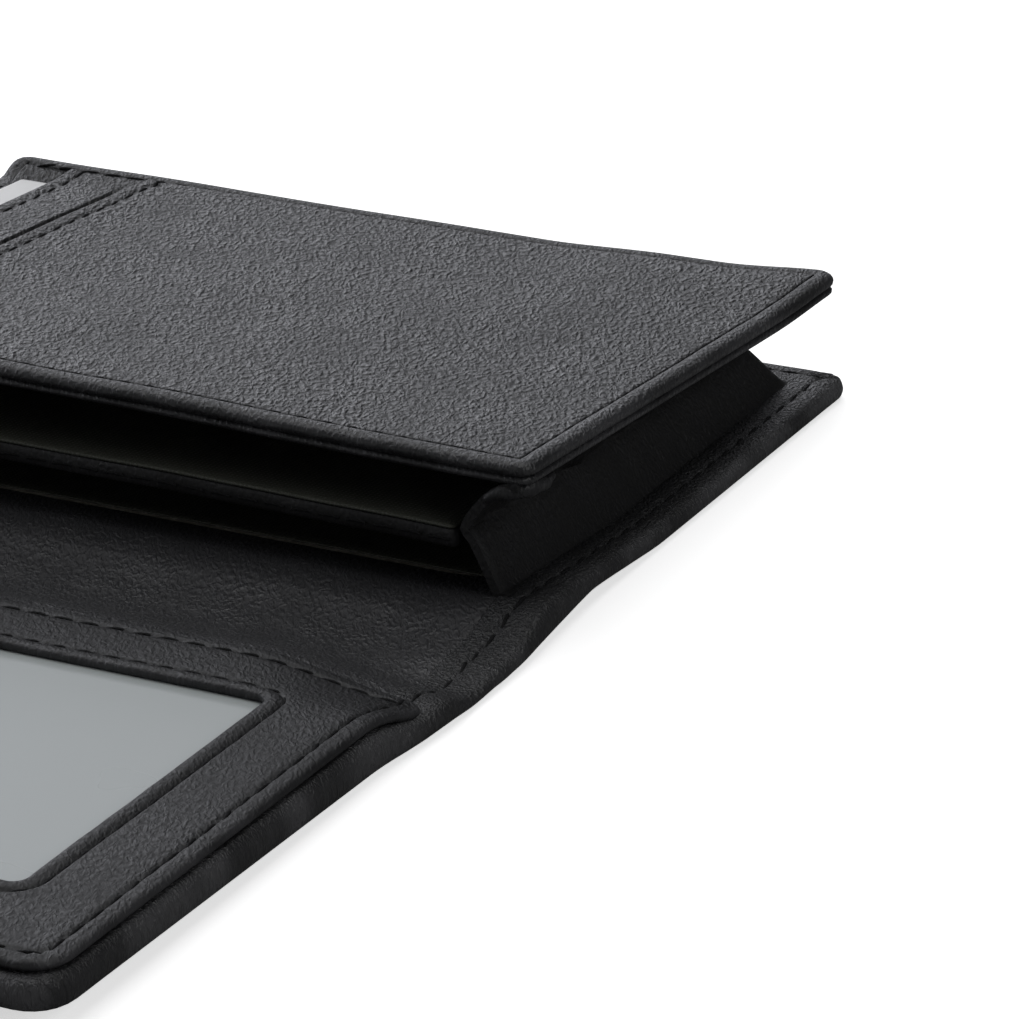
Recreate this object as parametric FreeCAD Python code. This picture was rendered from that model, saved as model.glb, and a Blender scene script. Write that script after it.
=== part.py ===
import FreeCAD, Part
import math
import os

from FreeCAD import Vector

# Open bifold wallet with a gusseted pocket, an ID window and two card slots.
# Millimetres. X runs along the spine, +Y towards the pocket half, -Y towards
# the ID half, +Z up. The spine bulges down to Z = 0, where the far end of the
# back cover rests too. The origin is under the middle of the open wallet.

os.makedirs("parts", exist_ok=True)

# ---- overall size of the open wallet ----
cover_width = 106.2          # along the spine
half_length = 81.0           # from the middle of the spine to either outer edge
spine_width = 18.6           # from one fold line to the other
outer_corner_radius = 4.5    # rounded corners of the ID half
pocket_corner_radius = 2.5   # rounded corners of the pocket half

# ---- layers of both covers, from the outside in ----
cover_leather = 0.9
board_thickness = 0.5
lining_thickness = 0.3
hem_width = 5.0              # leather turned in around the board
board_gap = 0.15             # all round the board
lining_inset = 0.7           # lining edge, in from the cover edge
spine_inner_leather = 0.5

# ---- how the open wallet lies ----
mouth_rise = 2.1             # back cover lifted at its fold line
ramp_end = 36.0              # back cover is flat on the table beyond this
front_rise = 3.0             # front cover lifted at its fold line
front_tilt = 1.0             # degrees, outer edge of the front cover up

# ---- pocket ----
mouth_setback = 1.3          # pocket mouth, in from the fold line of the back cover
panel_inset = 0.6            # pocket panel edge, in from the cover edge
panel_height_mouth = 16.6    # underside of the panel at the mouth
panel_height_far = 11.2      # underside of the panel at the far edge
base_leather = 0.6
slot_gap = 0.9               # room for a card
strip_leather = 0.4
face_leather = 0.5
panel_hem = 5.0
panel_fold = 0.25            # base leather edge, in from the face leather edge
panel_mouth_radius = 2.0     # panel corners at the mouth
panel_far_radius = 2.5       # panel corners at the far edge
hem_clearance = 0.1          # panel hem to the card slot strip
strip_clearance = 0.2        # card slot strip to the face leather beside it

# ---- card slots at the left end of the panel ----
first_slot_edge = 9.6        # from the left edge of the panel
second_slot_edge = 19.2      # from the left edge of the panel
strip_overlap = 9.0          # strip under the face leather
card_length = 85.6
card_width = 54.0
card_thickness = 0.35
card_showing = 4.6           # card left of the first slot edge
card_setback = 7.0           # card, in from the far edge of the panel

# ---- gusset on three sides ----
gusset_leather = 0.7
flange_inset = 0.8           # gusset flange, in from the cover edge
flange_width = 2.8
crease_depth = 4.6           # crease, in from the flange
crease_level = 0.6           # share of the height between the two flanges
leaf_slant = 0.62            # inner bend of a leaf, in shares of its thickness

# ---- divider carried by the crease ----
divider_leather = 0.6
divider_lining = 0.4
divider_setback = 0.4        # divider mouth, in from the panel mouth
divider_gap = 0.3            # divider edge, in from the crease

# ---- ID panel ----
id_mouth_setback = 2.9       # mouth of the ID panel, in from the fold line
id_leather = 0.8
id_inset = 0.6               # ID panel edge, in from the cover edge
window_width = 82.6
window_depth = 45.0
window_setback = 10.2        # window, in from the mouth of the ID panel
window_radius = 3.0
film_thickness = 0.3
film_overlap = 4.6           # film under the leather around the window
film_gap = 0.05

# ---- thread ----
thread_width = 0.5
thread_height = 0.12
cover_seam = 2.1             # seam, in from the cover edge
panel_seam = 2.2             # seam, in from the panel edge
window_seam = 2.0            # seam, out from the window edge
slot_seam = 1.8              # seam, in from a slot edge
seam_corner = 1.0            # corner radius of the seam around the pocket
id_seam_corner = 2.5         # corner radius of the seam around the ID panel

# ---- sizes that follow ----
fold_y = spine_width / 2
half_width = cover_width / 2
cover_stack = cover_leather + board_thickness + lining_thickness
axis_height = cover_leather + spine_inner_leather
mouth_y = fold_y + mouth_setback
panel_far_y = half_length - panel_inset
panel_half = half_width - panel_inset
panel_slope = (panel_height_mouth - panel_height_far) / (panel_far_y - mouth_y)
panel_angle = math.degrees(math.atan(panel_slope))
panel_depth = (panel_far_y - mouth_y) / math.cos(math.radians(panel_angle))
panel_stack = base_leather + slot_gap + strip_leather + face_leather
strip_level = base_leather + slot_gap
face_level = strip_level + strip_leather
id_level = cover_stack
id_top = id_level + id_leather
id_mouth_y = -(fold_y + id_mouth_setback)
window_far_y = id_mouth_y - window_setback
window_near_y = window_far_y - window_depth
X_AXIS = Vector(1, 0, 0)
TALL = 60.0                  # cutters this long pass through every layer
FAR = 200.0                  # cutters this long pass every edge
SPINE_STEPS = 8              # stations of the curve across the spine


def box(x0, x1, y0, y1, z0, z1):
    """A box given by its two ends along each direction."""
    return Part.makeBox(x1 - x0, y1 - y0, z1 - z0, Vector(x0, y0, z0))


def solid_from_outline(points, direction):
    """A closed outline pushed along a direction."""
    return Part.Face(Part.makePolygon(points + points[:1])).extrude(direction)


def rounded_box(x0, x1, y0, y1, z0, z1, radii):
    """A box with upright edges rounded; radii are near-left, near-right,
    far-right and far-left, and 0 leaves an edge sharp."""
    body = box(x0, x1, y0, y1, z0, z1)
    corners = [(x0, y0), (x1, y0), (x1, y1), (x0, y1)]
    for radius, (x, y) in zip(radii, corners):
        if radius <= 0:
            continue
        for edge in body.Edges:
            a, b = edge.Vertexes[0].Point, edge.Vertexes[-1].Point
            upright = abs(a.x - b.x) < 1e-6 and abs(a.y - b.y) < 1e-6
            if upright and abs(a.x - x) < 1e-6 and abs(a.y - y) < 1e-6:
                body = body.makeFillet(radius, [edge])
                break
    return body


def save(name, shape):
    """Write one sub-part, checked to be closed and valid."""
    if not shape.isValid() or shape.Volume <= 0:
        raise ValueError(name + " is not a closed solid")
    shape.exportStep("parts/" + name + ".step")
    print(name, len(shape.Solids), "solid(s)", round(shape.Volume, 1), "mm3")


# ---------------------------------------------------------------- back cover
def back_rise(y):
    """How far the back cover is lifted off the table."""
    if y >= ramp_end:
        return 0.0
    return mouth_rise * (ramp_end - y) / (ramp_end - fold_y)


def back_layer(z0, z1):
    """A layer that follows the back cover, wider than the cover."""
    stations = [fold_y, ramp_end, half_length]
    lower = [Vector(-FAR, y, back_rise(y) + z0) for y in stations]
    upper = [Vector(-FAR, y, back_rise(y) + z1) for y in reversed(stations)]
    return solid_from_outline(lower + upper, Vector(2 * FAR, 0, 0))


def back_sheet(z0, z1, inset, radius):
    """A sheet of the back cover, inset on its three outer sides."""
    plan = rounded_box(-half_width + inset, half_width - inset, fold_y,
                       half_length - inset, -1, TALL, [0, 0, radius, radius])
    return plan.common(back_layer(z0, z1))


board_inset = hem_width + board_gap
hem_box = box(-half_width + hem_width, half_width - hem_width,
              fold_y + hem_width, half_length - hem_width, -1, TALL)
back_leather = back_sheet(0, cover_leather + board_thickness, 0, pocket_corner_radius)
back_leather = back_leather.cut(
    hem_box.common(back_layer(cover_leather, cover_leather + board_thickness)))
save("back_cover_leather", back_leather)

back_board = box(-half_width + board_inset, half_width - board_inset,
                 fold_y + board_inset, half_length - board_inset, -1, TALL)
save("back_cover_board", back_board.common(
    back_layer(cover_leather, cover_leather + board_thickness)))

save("back_cover_lining", back_sheet(cover_leather + board_thickness, cover_stack,
                                     lining_inset, pocket_corner_radius))

# -------------------------------------------------------------------- gusset
def panel_underside(y):
    """Height of the pocket panel's underside."""
    return panel_height_mouth - panel_slope * (y - mouth_y)


def gusset_section(outer, crease_in, flange_in, low, high, level, place):
    """A V-shaped strip seen end on: two flanges joined at an inward crease.
    outer, flange_in and crease_in are distances from the middle, low, high
    and level are heights there, and place turns (distance, height) to 3-D."""
    t = gusset_leather
    slant = t * leaf_slant
    outline = [
        (outer, low(outer)), (flange_in - slant, low(flange_in)),
        (crease_in - t, level), (flange_in - slant, high(flange_in)),
        (outer, high(outer)), (outer, high(outer) - t),
        (flange_in, high(flange_in) - t), (crease_in, level),
        (flange_in, low(flange_in) + t), (outer, low(outer) + t)]
    return [place(distance, height) for distance, height in outline]


def flange_level(y):
    """Height of the lining that carries the lower flange."""
    return back_rise(y) + cover_stack


def crease_height(y):
    """Height of the gusset's crease."""
    low, high = flange_level(y), panel_underside(y)
    return low + crease_level * (high - low)


side_outer = half_width - flange_inset
side_flange = side_outer - flange_width
side_crease = side_flange - crease_depth
edge_shift = half_length - half_width     # far edge is this much further out


def side_section(y, side):
    """The right (side = 1) or left (side = -1) gusset, cut across at y."""
    points = gusset_section(side_outer, side_crease, side_flange,
                            lambda d: flange_level(y), lambda d: panel_underside(y),
                            crease_height(y),
                            lambda d, z: Vector(side * d, y, z))
    return Part.makePolygon(points + points[:1])


def mitre(side, keep_side):
    """A wedge that keeps one part of a mitred gusset corner."""
    corner_x, corner_y = side * half_width, half_length
    diagonal_in = Vector(corner_x - side * FAR, corner_y - FAR, -1)
    diagonal_out = Vector(corner_x + side * FAR, corner_y + FAR, -1)
    if keep_side:
        third = Vector(corner_x + side * FAR, corner_y - FAR, -1)
    else:
        third = Vector(corner_x - side * FAR, corner_y + FAR, -1)
    return solid_from_outline([diagonal_in, diagonal_out, third], Vector(0, 0, TALL))


gusset_end = half_length - flange_inset
for name, side in (("gusset_right", 1), ("gusset_left", -1)):
    pieces = []
    for y0, y1 in ((mouth_y, ramp_end), (ramp_end, gusset_end)):
        pieces.append(Part.makeLoft([side_section(y0, side), side_section(y1, side)],
                                    True, True))
    strip = pieces[0].fuse(pieces[1]).removeSplitter()
    save(name, strip.common(mitre(side, True)))

far_points = gusset_section(side_outer + edge_shift, side_crease + edge_shift,
                            side_flange + edge_shift,
                            flange_level, panel_underside,
                            crease_height(side_crease + edge_shift),
                            lambda d, z: Vector(-half_width, d, z))
far_gusset = solid_from_outline(far_points, Vector(cover_width, 0, 0))
for side in (1, -1):
    far_gusset = far_gusset.common(mitre(side, False))
save("gusset_far", far_gusset)

# -------------------------------------------------- thread of the back cover
def back_seam(inset):
    """A three-sided seam around the back cover, seen from above."""
    half = thread_width / 2
    outer = rounded_box(-half_width + inset - half, half_width - inset + half,
                        mouth_y, half_length - inset + half, -1, TALL,
                        [0, 0, seam_corner, seam_corner])
    inner = rounded_box(-half_width + inset + half, half_width - inset - half,
                        mouth_y - 1, half_length - inset - half, -2, TALL + 1,
                        [0, 0, seam_corner - half, seam_corner - half])
    return outer.cut(inner)


flange_top = cover_stack + gusset_leather
save("back_cover_thread", back_seam(cover_seam).common(
    back_layer(flange_top, flange_top + thread_height)))

# --------------------------------------------------------------------- spine
def spine_level(y):
    """Underside of the spine: a shallow valley between the fold lines."""
    end = mouth_rise if y > 0 else front_rise
    return end * (y / fold_y) ** 2


def spine_layer(z0, z1, x0, x1):
    """A layer that follows the valley of the spine."""
    stations = [-fold_y + spine_width * i / SPINE_STEPS
                for i in range(SPINE_STEPS + 1)]
    lower = [Vector(x0, y, spine_level(y) + z0) for y in stations]
    upper = [Vector(x0, y, spine_level(y) + z1) for y in stations]
    curves = []
    for points in (lower, upper):
        curve = Part.BSplineCurve()
        curve.interpolate(points)
        curves.append(curve.toShape())
    ends = [Part.makeLine(lower[0], upper[0]), Part.makeLine(lower[-1], upper[-1])]
    outline = Part.Wire(Part.__sortEdges__(curves + ends))
    return Part.Face(outline).extrude(Vector(x1 - x0, 0, 0))


save("spine_outer_leather", spine_layer(0, cover_leather, -half_width, half_width))
spine_half = half_width - lining_inset
save("spine_inner_leather", spine_layer(cover_leather, axis_height,
                                        -spine_half, spine_half))
spine_seams = []
for side in (1, -1):
    x = side * (half_width - cover_seam)
    spine_seams.append(spine_layer(axis_height, axis_height + thread_height,
                                   x - thread_width / 2, x + thread_width / 2))
save("spine_thread", Part.makeCompound(spine_seams))

# --------------------------------------------------------------- front cover
front_hinge = Vector(0, -fold_y, axis_height)


def place_front(shape):
    """Lift a flat front piece to where the open wallet holds it."""
    placed = shape.copy()
    placed.rotate(front_hinge, X_AXIS, -front_tilt)
    placed.translate(Vector(0, 0, front_rise))
    return placed


def front_sheet(z0, z1, inset, radius, start=-fold_y):
    """A flat sheet of the front cover, inset on its three outer sides."""
    return rounded_box(-half_width + inset, half_width - inset, -half_length + inset,
                       start, z0, z1, [radius, radius, 0, 0])


front_leather = front_sheet(0, cover_leather + board_thickness, 0, outer_corner_radius)
front_leather = front_leather.cut(
    box(-half_width + hem_width, half_width - hem_width, -half_length + hem_width,
        -fold_y - hem_width, cover_leather, cover_leather + board_thickness + 1))
save("front_cover_leather", place_front(front_leather))
save("front_cover_board", place_front(
    box(-half_width + board_inset, half_width - board_inset,
        -half_length + board_inset, -fold_y - board_inset,
        cover_leather, cover_leather + board_thickness)))
save("front_cover_lining", place_front(
    front_sheet(cover_leather + board_thickness, cover_stack, lining_inset,
                outer_corner_radius - lining_inset)))

id_panel = front_sheet(id_level, id_top, id_inset, outer_corner_radius - id_inset,
                       id_mouth_y)
id_panel = id_panel.cut(rounded_box(-window_width / 2, window_width / 2, window_near_y,
                                    window_far_y, id_level - 1, id_top + 1,
                                    [window_radius] * 4))
film_room = film_overlap + 2 * film_gap
id_panel = id_panel.cut(box(-window_width / 2 - film_room, window_width / 2 + film_room,
                            window_near_y - film_room, window_far_y + film_room,
                            id_level - 1, id_level + film_thickness + film_gap))
save("id_panel_leather", place_front(id_panel))
save("id_window_film", place_front(
    box(-window_width / 2 - film_overlap, window_width / 2 + film_overlap,
        window_near_y - film_overlap, window_far_y + film_overlap,
        id_level, id_level + film_thickness)))


def ring(x0, x1, y0, y1, radius, level):
    """A rectangular loop of thread lying at a level."""
    half = thread_width / 2
    outer = rounded_box(x0 - half, x1 + half, y0 - half, y1 + half,
                        level, level + thread_height, [radius + half] * 4)
    inner = rounded_box(x0 + half, x1 - half, y0 + half, y1 - half,
                        level - 1, level + 1, [radius - half] * 4)
    return outer.cut(inner)


seam_x = half_width - cover_seam
id_mouth_seam_y = id_mouth_y - slot_seam
front_ring = ring(-seam_x, seam_x, -half_length + cover_seam, id_mouth_seam_y,
                  id_seam_corner, id_top)
save("front_cover_thread", place_front(front_ring))
save("id_window_thread", place_front(
    ring(-window_width / 2 - window_seam, window_width / 2 + window_seam,
         window_near_y - window_seam, window_far_y + window_seam,
         window_radius + window_seam, id_top)))

# -------------------------------------------------------------- pocket panel
def place_panel(shape):
    """Tip a flat panel piece (mouth at y = 0, underside at z = 0) into place."""
    placed = shape.copy()
    placed.rotate(Vector(0, 0, 0), X_AXIS, -panel_angle)
    placed.translate(Vector(0, mouth_y, panel_height_mouth))
    return placed


base_half = panel_half - panel_fold
base_depth = panel_depth - panel_fold
strip_start = -panel_half + first_slot_edge
face_start = -panel_half + second_slot_edge
strip = box(strip_start, face_start + strip_overlap, panel_fold, base_depth,
            base_leather, face_level)
strip = strip.cut(box(strip_start - 1, face_start + strip_overlap + 1, panel_hem,
                      base_depth - panel_hem, base_leather, strip_level))
save("card_slot_strip", place_panel(strip))

face = rounded_box(face_start, panel_half, 0, panel_depth, base_leather, panel_stack,
                   [0, panel_mouth_radius, panel_far_radius, 0])
strip_room = box(face_start - 1, face_start + strip_overlap + strip_clearance, -1,
                 panel_depth + 1, base_leather - 1, face_level)
card_room = box(face_start - 1, panel_half - panel_hem, panel_hem,
                base_depth - panel_hem, base_leather - 1, face_level)
face = face.cut(strip_room).cut(card_room)
save("panel_face_leather", place_panel(face))

panel_base = rounded_box(-base_half, base_half, panel_fold, base_depth,
                         0, base_leather,
                         [panel_mouth_radius - panel_fold] * 2
                         + [panel_far_radius - panel_fold] * 2)
hem_end = strip_start - hem_clearance
panel_hems = [
    (0, panel_hem, [panel_mouth_radius, 0, 0, 0]),
    (base_depth - panel_hem, panel_depth, [0, 0, 0, panel_far_radius])]
for hem_y0, hem_y1, radii in panel_hems:
    panel_base = panel_base.fuse(rounded_box(-panel_half, hem_end, hem_y0, hem_y1,
                                             base_leather, face_level, radii))
save("panel_base_leather", place_panel(panel_base))

card_left = strip_start - card_showing
card_far = panel_depth - card_setback
card_level = base_leather + (slot_gap - card_thickness) / 2
save("slot_card", place_panel(
    box(card_left, card_left + card_length, card_far - card_width, card_far,
        card_level, card_level + card_thickness)))


def panel_thread(x0, x1, y0, y1, level):
    """A straight run of thread on the panel."""
    return box(x0, x1, y0, y1, level, level + thread_height)


half_thread = thread_width / 2
low_x, high_x = face_start, panel_half - panel_seam
runs = [
    panel_thread(low_x, high_x, panel_seam - half_thread, panel_seam + half_thread,
                 panel_stack),
    panel_thread(low_x, high_x, panel_depth - panel_seam - half_thread,
                 panel_depth - panel_seam + half_thread, panel_stack),
    panel_thread(high_x - thread_width, high_x, panel_seam + half_thread,
                 panel_depth - panel_seam - half_thread, panel_stack)]
perimeter = runs[0].fuse(runs[1]).fuse(runs[2]).removeSplitter()
save("panel_thread", place_panel(perimeter))

seam_far = panel_depth - panel_seam - half_thread
seam_low = panel_seam + half_thread
slot_runs = [
    panel_thread(strip_start + slot_seam - half_thread,
                 strip_start + slot_seam + half_thread, seam_low, seam_far, face_level),
    panel_thread(face_start + slot_seam - half_thread,
                 face_start + slot_seam + half_thread, seam_low, seam_far, panel_stack)]
save("slot_threads", place_panel(Part.makeCompound(slot_runs)))

# ------------------------------------------------------------------- divider
divider_half = side_crease - gusset_leather - divider_gap
divider_far = divider_half + edge_shift
divider_y = mouth_y + divider_setback


def divider_layer(z0, z1):
    """A layer that follows the crease of the gusset from the mouth inwards."""
    stations = [divider_y, ramp_end, divider_far]
    lower = [Vector(-divider_half, y, crease_height(y) + z0) for y in stations]
    upper = [Vector(-divider_half, y, crease_height(y) + z1)
             for y in reversed(stations)]
    return solid_from_outline(lower + upper, Vector(2 * divider_half, 0, 0))


half_stack = (divider_leather + divider_lining) / 2
save("divider_leather", divider_layer(-half_stack, -half_stack + divider_leather))
save("divider_lining", divider_layer(-half_stack + divider_leather, half_stack))
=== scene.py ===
# %% [markdown]
# # An open bifold wallet
# The wallet lies on its back: a gusseted pocket on one half, an ID window on
# the other, one sheet of leather around both. The imported model comes first,
# because every visible piece takes its place from it.

# %% Load the imported wallet
import math

import bmesh
import bpy
import numpy as np
from mathutils import Matrix, Vector


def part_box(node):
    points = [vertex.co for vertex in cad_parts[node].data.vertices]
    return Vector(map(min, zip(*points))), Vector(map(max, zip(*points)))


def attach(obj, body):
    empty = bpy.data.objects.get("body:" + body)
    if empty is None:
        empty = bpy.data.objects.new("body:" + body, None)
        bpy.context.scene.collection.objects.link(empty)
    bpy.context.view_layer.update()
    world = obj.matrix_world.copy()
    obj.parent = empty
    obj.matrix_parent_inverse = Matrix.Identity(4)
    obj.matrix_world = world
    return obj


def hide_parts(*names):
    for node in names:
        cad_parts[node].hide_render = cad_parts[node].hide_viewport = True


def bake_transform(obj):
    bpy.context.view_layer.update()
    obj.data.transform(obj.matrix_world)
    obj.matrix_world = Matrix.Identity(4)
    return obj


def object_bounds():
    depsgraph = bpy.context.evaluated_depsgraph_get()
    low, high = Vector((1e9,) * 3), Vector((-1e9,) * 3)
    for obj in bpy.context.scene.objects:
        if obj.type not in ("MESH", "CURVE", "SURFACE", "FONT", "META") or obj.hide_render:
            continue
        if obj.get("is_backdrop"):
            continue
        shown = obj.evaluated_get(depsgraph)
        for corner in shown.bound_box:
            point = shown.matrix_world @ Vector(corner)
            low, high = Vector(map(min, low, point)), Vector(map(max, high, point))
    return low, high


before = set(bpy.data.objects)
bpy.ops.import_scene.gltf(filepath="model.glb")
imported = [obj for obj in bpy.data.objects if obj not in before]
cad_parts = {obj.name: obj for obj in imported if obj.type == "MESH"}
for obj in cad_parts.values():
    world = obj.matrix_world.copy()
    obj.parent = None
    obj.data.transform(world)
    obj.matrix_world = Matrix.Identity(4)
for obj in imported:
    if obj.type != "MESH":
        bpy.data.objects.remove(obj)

cad_low, cad_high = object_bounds()
print("packed box", [round(v * 1000, 1) for v in (*cad_low, *cad_high)])

# %% [markdown]
# ## Sizes
# The wallet is drawn in millimetres and turned to metres when a mesh is made.
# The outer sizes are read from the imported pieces, so a new pack carries
# through; the sizes below them are those of the visible finish only.

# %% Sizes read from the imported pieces
MM = 0.001


def edges_of(node):
    """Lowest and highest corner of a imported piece, in millimetres."""
    low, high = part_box(node)
    return np.array(low) / MM, np.array(high) / MM


HALF_WIDTH, HALF_LENGTH = edges_of("back_cover_leather")[1][:2]
FOLD = edges_of("spine_outer_leather")[1][1]
print("half width", round(HALF_WIDTH, 2), "half length", round(HALF_LENGTH, 2),
      "fold line", round(FOLD, 2))

# %% How the open wallet lies
MOUTH_RISE = 2.1         # back cover lifted at its fold line
FRONT_RISE = 3.0         # front cover lifted at its fold line
RAMP_END = 36.0          # back cover is flat on the table beyond this
FRONT_TILT = 1.0         # degrees, outer edge of the front cover up
COVER_LEATHER = 0.9      # thickness of the outer leather
HEM_TOP = 1.4            # leather turned in around the board
SPINE_TOP = 1.4          # leather that faces the inside of the spine
FOLD_DROOP = 2.2         # how far the ends of the front fold are pressed down
SOFTEN = 1.6             # folds are softened over this much each way


def smooth(start, end, value):
    """0 before start, 1 after end, and an even curve between them."""
    t = np.clip((np.asarray(value, float) - start) / (end - start), 0, 1)
    return t * t * (3 - 2 * t)


def lie_sharp(y):
    """Height of the underside, with hard folds."""
    y = np.asarray(y, float)
    back = MOUTH_RISE * np.clip((RAMP_END - y) / (RAMP_END - FOLD), 0, 1)
    valley = np.where(y > 0, MOUTH_RISE, FRONT_RISE) * (y / FOLD) ** 2
    front = FRONT_RISE - (y + FOLD) * math.tan(math.radians(FRONT_TILT))
    return np.where(y > FOLD, back, np.where(y < -FOLD, front, valley))


def lie(y):
    """Height of the underside of the open wallet at y."""
    return sum(lie_sharp(y + step) for step in np.linspace(-SOFTEN, SOFTEN, 9)) / 9


def ground(x, y):
    """Height that the layers lie at: the underside, pressed down at both
    ends of the front fold, where the stiff cover meets the soft spine."""
    across = smooth(34.0, 51.0, np.abs(x))
    along = smooth(0.0, -8.0, y) * smooth(-24.0, -12.0, y)
    return lie(y) - FOLD_DROOP * across * along


def table_side(y):
    """Height of the outer leather's underside. It rests on the table under
    the folds and hangs slack below the raised front cover."""
    slack = 0.12 + 0.06 * np.clip(y - 4, 0, None) + 0.03 * np.clip(-18 - y, 0, None)
    return np.minimum(lie(y), slack)


def rim_bulge(y):
    """How far the soft rim stands out past the cut edge, most at the spine."""
    return 0.7 + smooth(26.0, 4.0, y) * smooth(-24.0, -8.0, y)


def ripple(x, y, length, seed):
    """A soft uneven wave from about -1 to 1, the same on every run."""
    random = np.random.default_rng(seed)
    total = 0.0
    for _ in range(6):
        angle, phase = random.uniform(0, 2 * math.pi, 2)
        size = length * random.uniform(0.6, 1.7)
        along = x * math.cos(angle) + y * math.sin(angle)
        total = total + np.sin(2 * math.pi * along / size + phase)
    return total / 3.5


print("underside at the folds", np.round(lie(np.array([-FOLD, 0, FOLD])), 2))

# %% [markdown]
# ## A way to make leather sheets
# Wallet leather is thin sheet with rolled edges, rounded corners and a sunk
# seam that follows the edge. A cube with a bevel can't hold a seam at a set
# distance from the edge, so each sheet is lofted from closed lines that run
# parallel to its outline, with a plain grid filling the middle.

# %% Lines parallel to a rounded outline
ARC = 6                  # steps around a corner


def stations(count):
    """Even steps from 0 to 1 along a side."""
    return np.linspace(0, 1, count + 1)


def outline(rect, radii, inset, nx, ny):
    """A closed line set in from a rounded rectangle, anticlockwise from the
    near-left corner; radii are near-left, near-right, far-right, far-left."""
    x0, x1, y0, y1 = rect
    corners = []
    quarter = [(x0, y0, 1, 1, 180), (x1, y0, -1, 1, 270), (x1, y1, -1, -1, 0),
               (x0, y1, 1, -1, 90)]
    for radius, (x, y, in_x, in_y, start) in zip(radii, quarter):
        reach = max(radius, inset)
        angle = np.radians(np.linspace(start, start + 90, ARC + 1))
        bend = max(radius - inset, 0.0)
        corners.append(np.stack([x + in_x * reach + bend * np.cos(angle),
                                 y + in_y * reach + bend * np.sin(angle)], 1))
    line = []
    for k, count in enumerate((nx, ny, nx, ny)):
        line.append(corners[k])
        share = stations(count)[1:-1, None]
        start, end = corners[k][-1], corners[(k + 1) % 4][0]
        line.append(start + (end - start) * share)
    return np.concatenate(line)


def middle_grid(rect, inset, nx, ny):
    """The grid that fills an outline whose corners have become sharp."""
    x0, x1, y0, y1 = rect
    xs = x0 + inset + (x1 - x0 - 2 * inset) * stations(nx)
    ys = y0 + inset + (y1 - y0 - 2 * inset) * stations(ny)
    return np.meshgrid(xs, ys)


# %% From lines to a closed mesh
SHARP = math.radians(55)


def new_object(name, data):
    """An object for some data, put into the scene."""
    made = bpy.data.objects.new(name, data)
    bpy.context.scene.collection.objects.link(made)
    return made


def finish_mesh(name, points, faces, rim=None):
    """A smooth closed mesh object from millimetre points."""
    mesh = bpy.data.meshes.new(name)
    mesh.from_pydata((np.asarray(points) * MM).tolist(), [], faces)
    if rim is not None:
        mesh.attributes.new("rim", "FLOAT", "POINT").data.foreach_set(
            "value", np.asarray(rim, np.float32))
    work = bmesh.new()
    work.from_mesh(mesh)
    bmesh.ops.remove_doubles(work, verts=work.verts, dist=2e-6)
    bmesh.ops.dissolve_degenerate(work, edges=work.edges, dist=1e-6)
    bmesh.ops.recalc_face_normals(work, faces=work.faces)
    work.to_mesh(mesh)
    work.free()
    mesh.shade_smooth()
    mesh.set_sharp_from_angle(angle=SHARP)
    return new_object(name, mesh)


def band_faces(rows, count, closed=False):
    """Faces between neighbouring closed lines of count points each."""
    faces = []
    for row in range(rows if closed else rows - 1):
        here, there = row * count, (row + 1) % rows * count
        for i in range(count):
            j = (i + 1) % count
            faces.append((here + i, here + j, there + j, there + i))
    return faces


def loft(name, loops, rim, closed=False, grids=()):
    """Closed lines joined one to the next, with grids over the open ends."""
    loops = np.asarray(loops)
    rows, count = loops.shape[:2]
    points = [loops.reshape(-1, 3)]
    values = [np.repeat(rim, count)]
    faces = band_faces(rows, count, closed)
    used = rows * count
    for grid in grids:
        high, wide = grid.shape[:2]
        points.append(grid.reshape(-1, 3))
        values.append(np.zeros(high * wide))
        for r in range(high - 1):
            for c in range(wide - 1):
                a = used + r * wide + c
                faces.append((a, a + 1, a + wide + 1, a + wide))
        used += high * wide
    return finish_mesh(name, np.concatenate(points), faces, np.concatenate(values))


def rim_value(inset):
    """1 on the very edge of a sheet, fading to 0 inside it."""
    return float(1 - smooth(0.2, 1.3, inset))


def leather_sheet(name, rect, radii, profile, place, nx=48, ny=48):
    """A closed sheet. profile runs from the middle of the underside around
    the edge to the middle of the top, as (inset, level); place turns
    (x, y, inset, level) into points."""
    loops, rim = [], []
    for inset, level in profile:
        line = outline(rect, radii, inset, nx, ny)
        loops.append(place(*line.T, inset, level))
        rim.append(rim_value(inset))
    grids = []
    for inset, level in (profile[0], profile[-1]):
        grids.append(place(*middle_grid(rect, inset, nx, ny), inset, level))
    return loft(name, loops, rim, grids=grids)


def rolled(width, low, high, steps=8):
    """A rounded edge from the underside to the top: (inset, level) pairs."""
    angle = np.linspace(-90, 90, steps + 1)
    middle, half = (low + high) / 2, (high - low) / 2
    return [(width * (1 - math.cos(math.radians(a))), middle + half * math.sin(math.radians(a)))
            for a in angle]


def thin_edge(middle, low, top, width, steps=4, between=()):
    """The profile of a thin flat sheet with a rounded edge."""
    return ([(middle, low)] + rolled(width, low, top, steps)
            + [(inset, top) for inset in (*between, middle)])


print("sheet maker ready,", ARC, "steps around each corner")

# %% [markdown]
# ## Camera, floor and light
# The camera looks across the wallet from its near right, low enough to see
# into the gusset. A long lens keeps the edges nearly parallel. The room is
# dim but for a bright wall low on the far left, and three soft panels stand
# above, right and in front, because black leather shows its grain only in
# what it mirrors.

# %% Camera
LENS, SENSOR = 230.26, 36.0
EYE = Vector((0.34499, -0.50855, 0.27606))
YAW, PITCH, ROLL = (math.radians(a) for a in (29.585, 23.692, -2.478))

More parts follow.
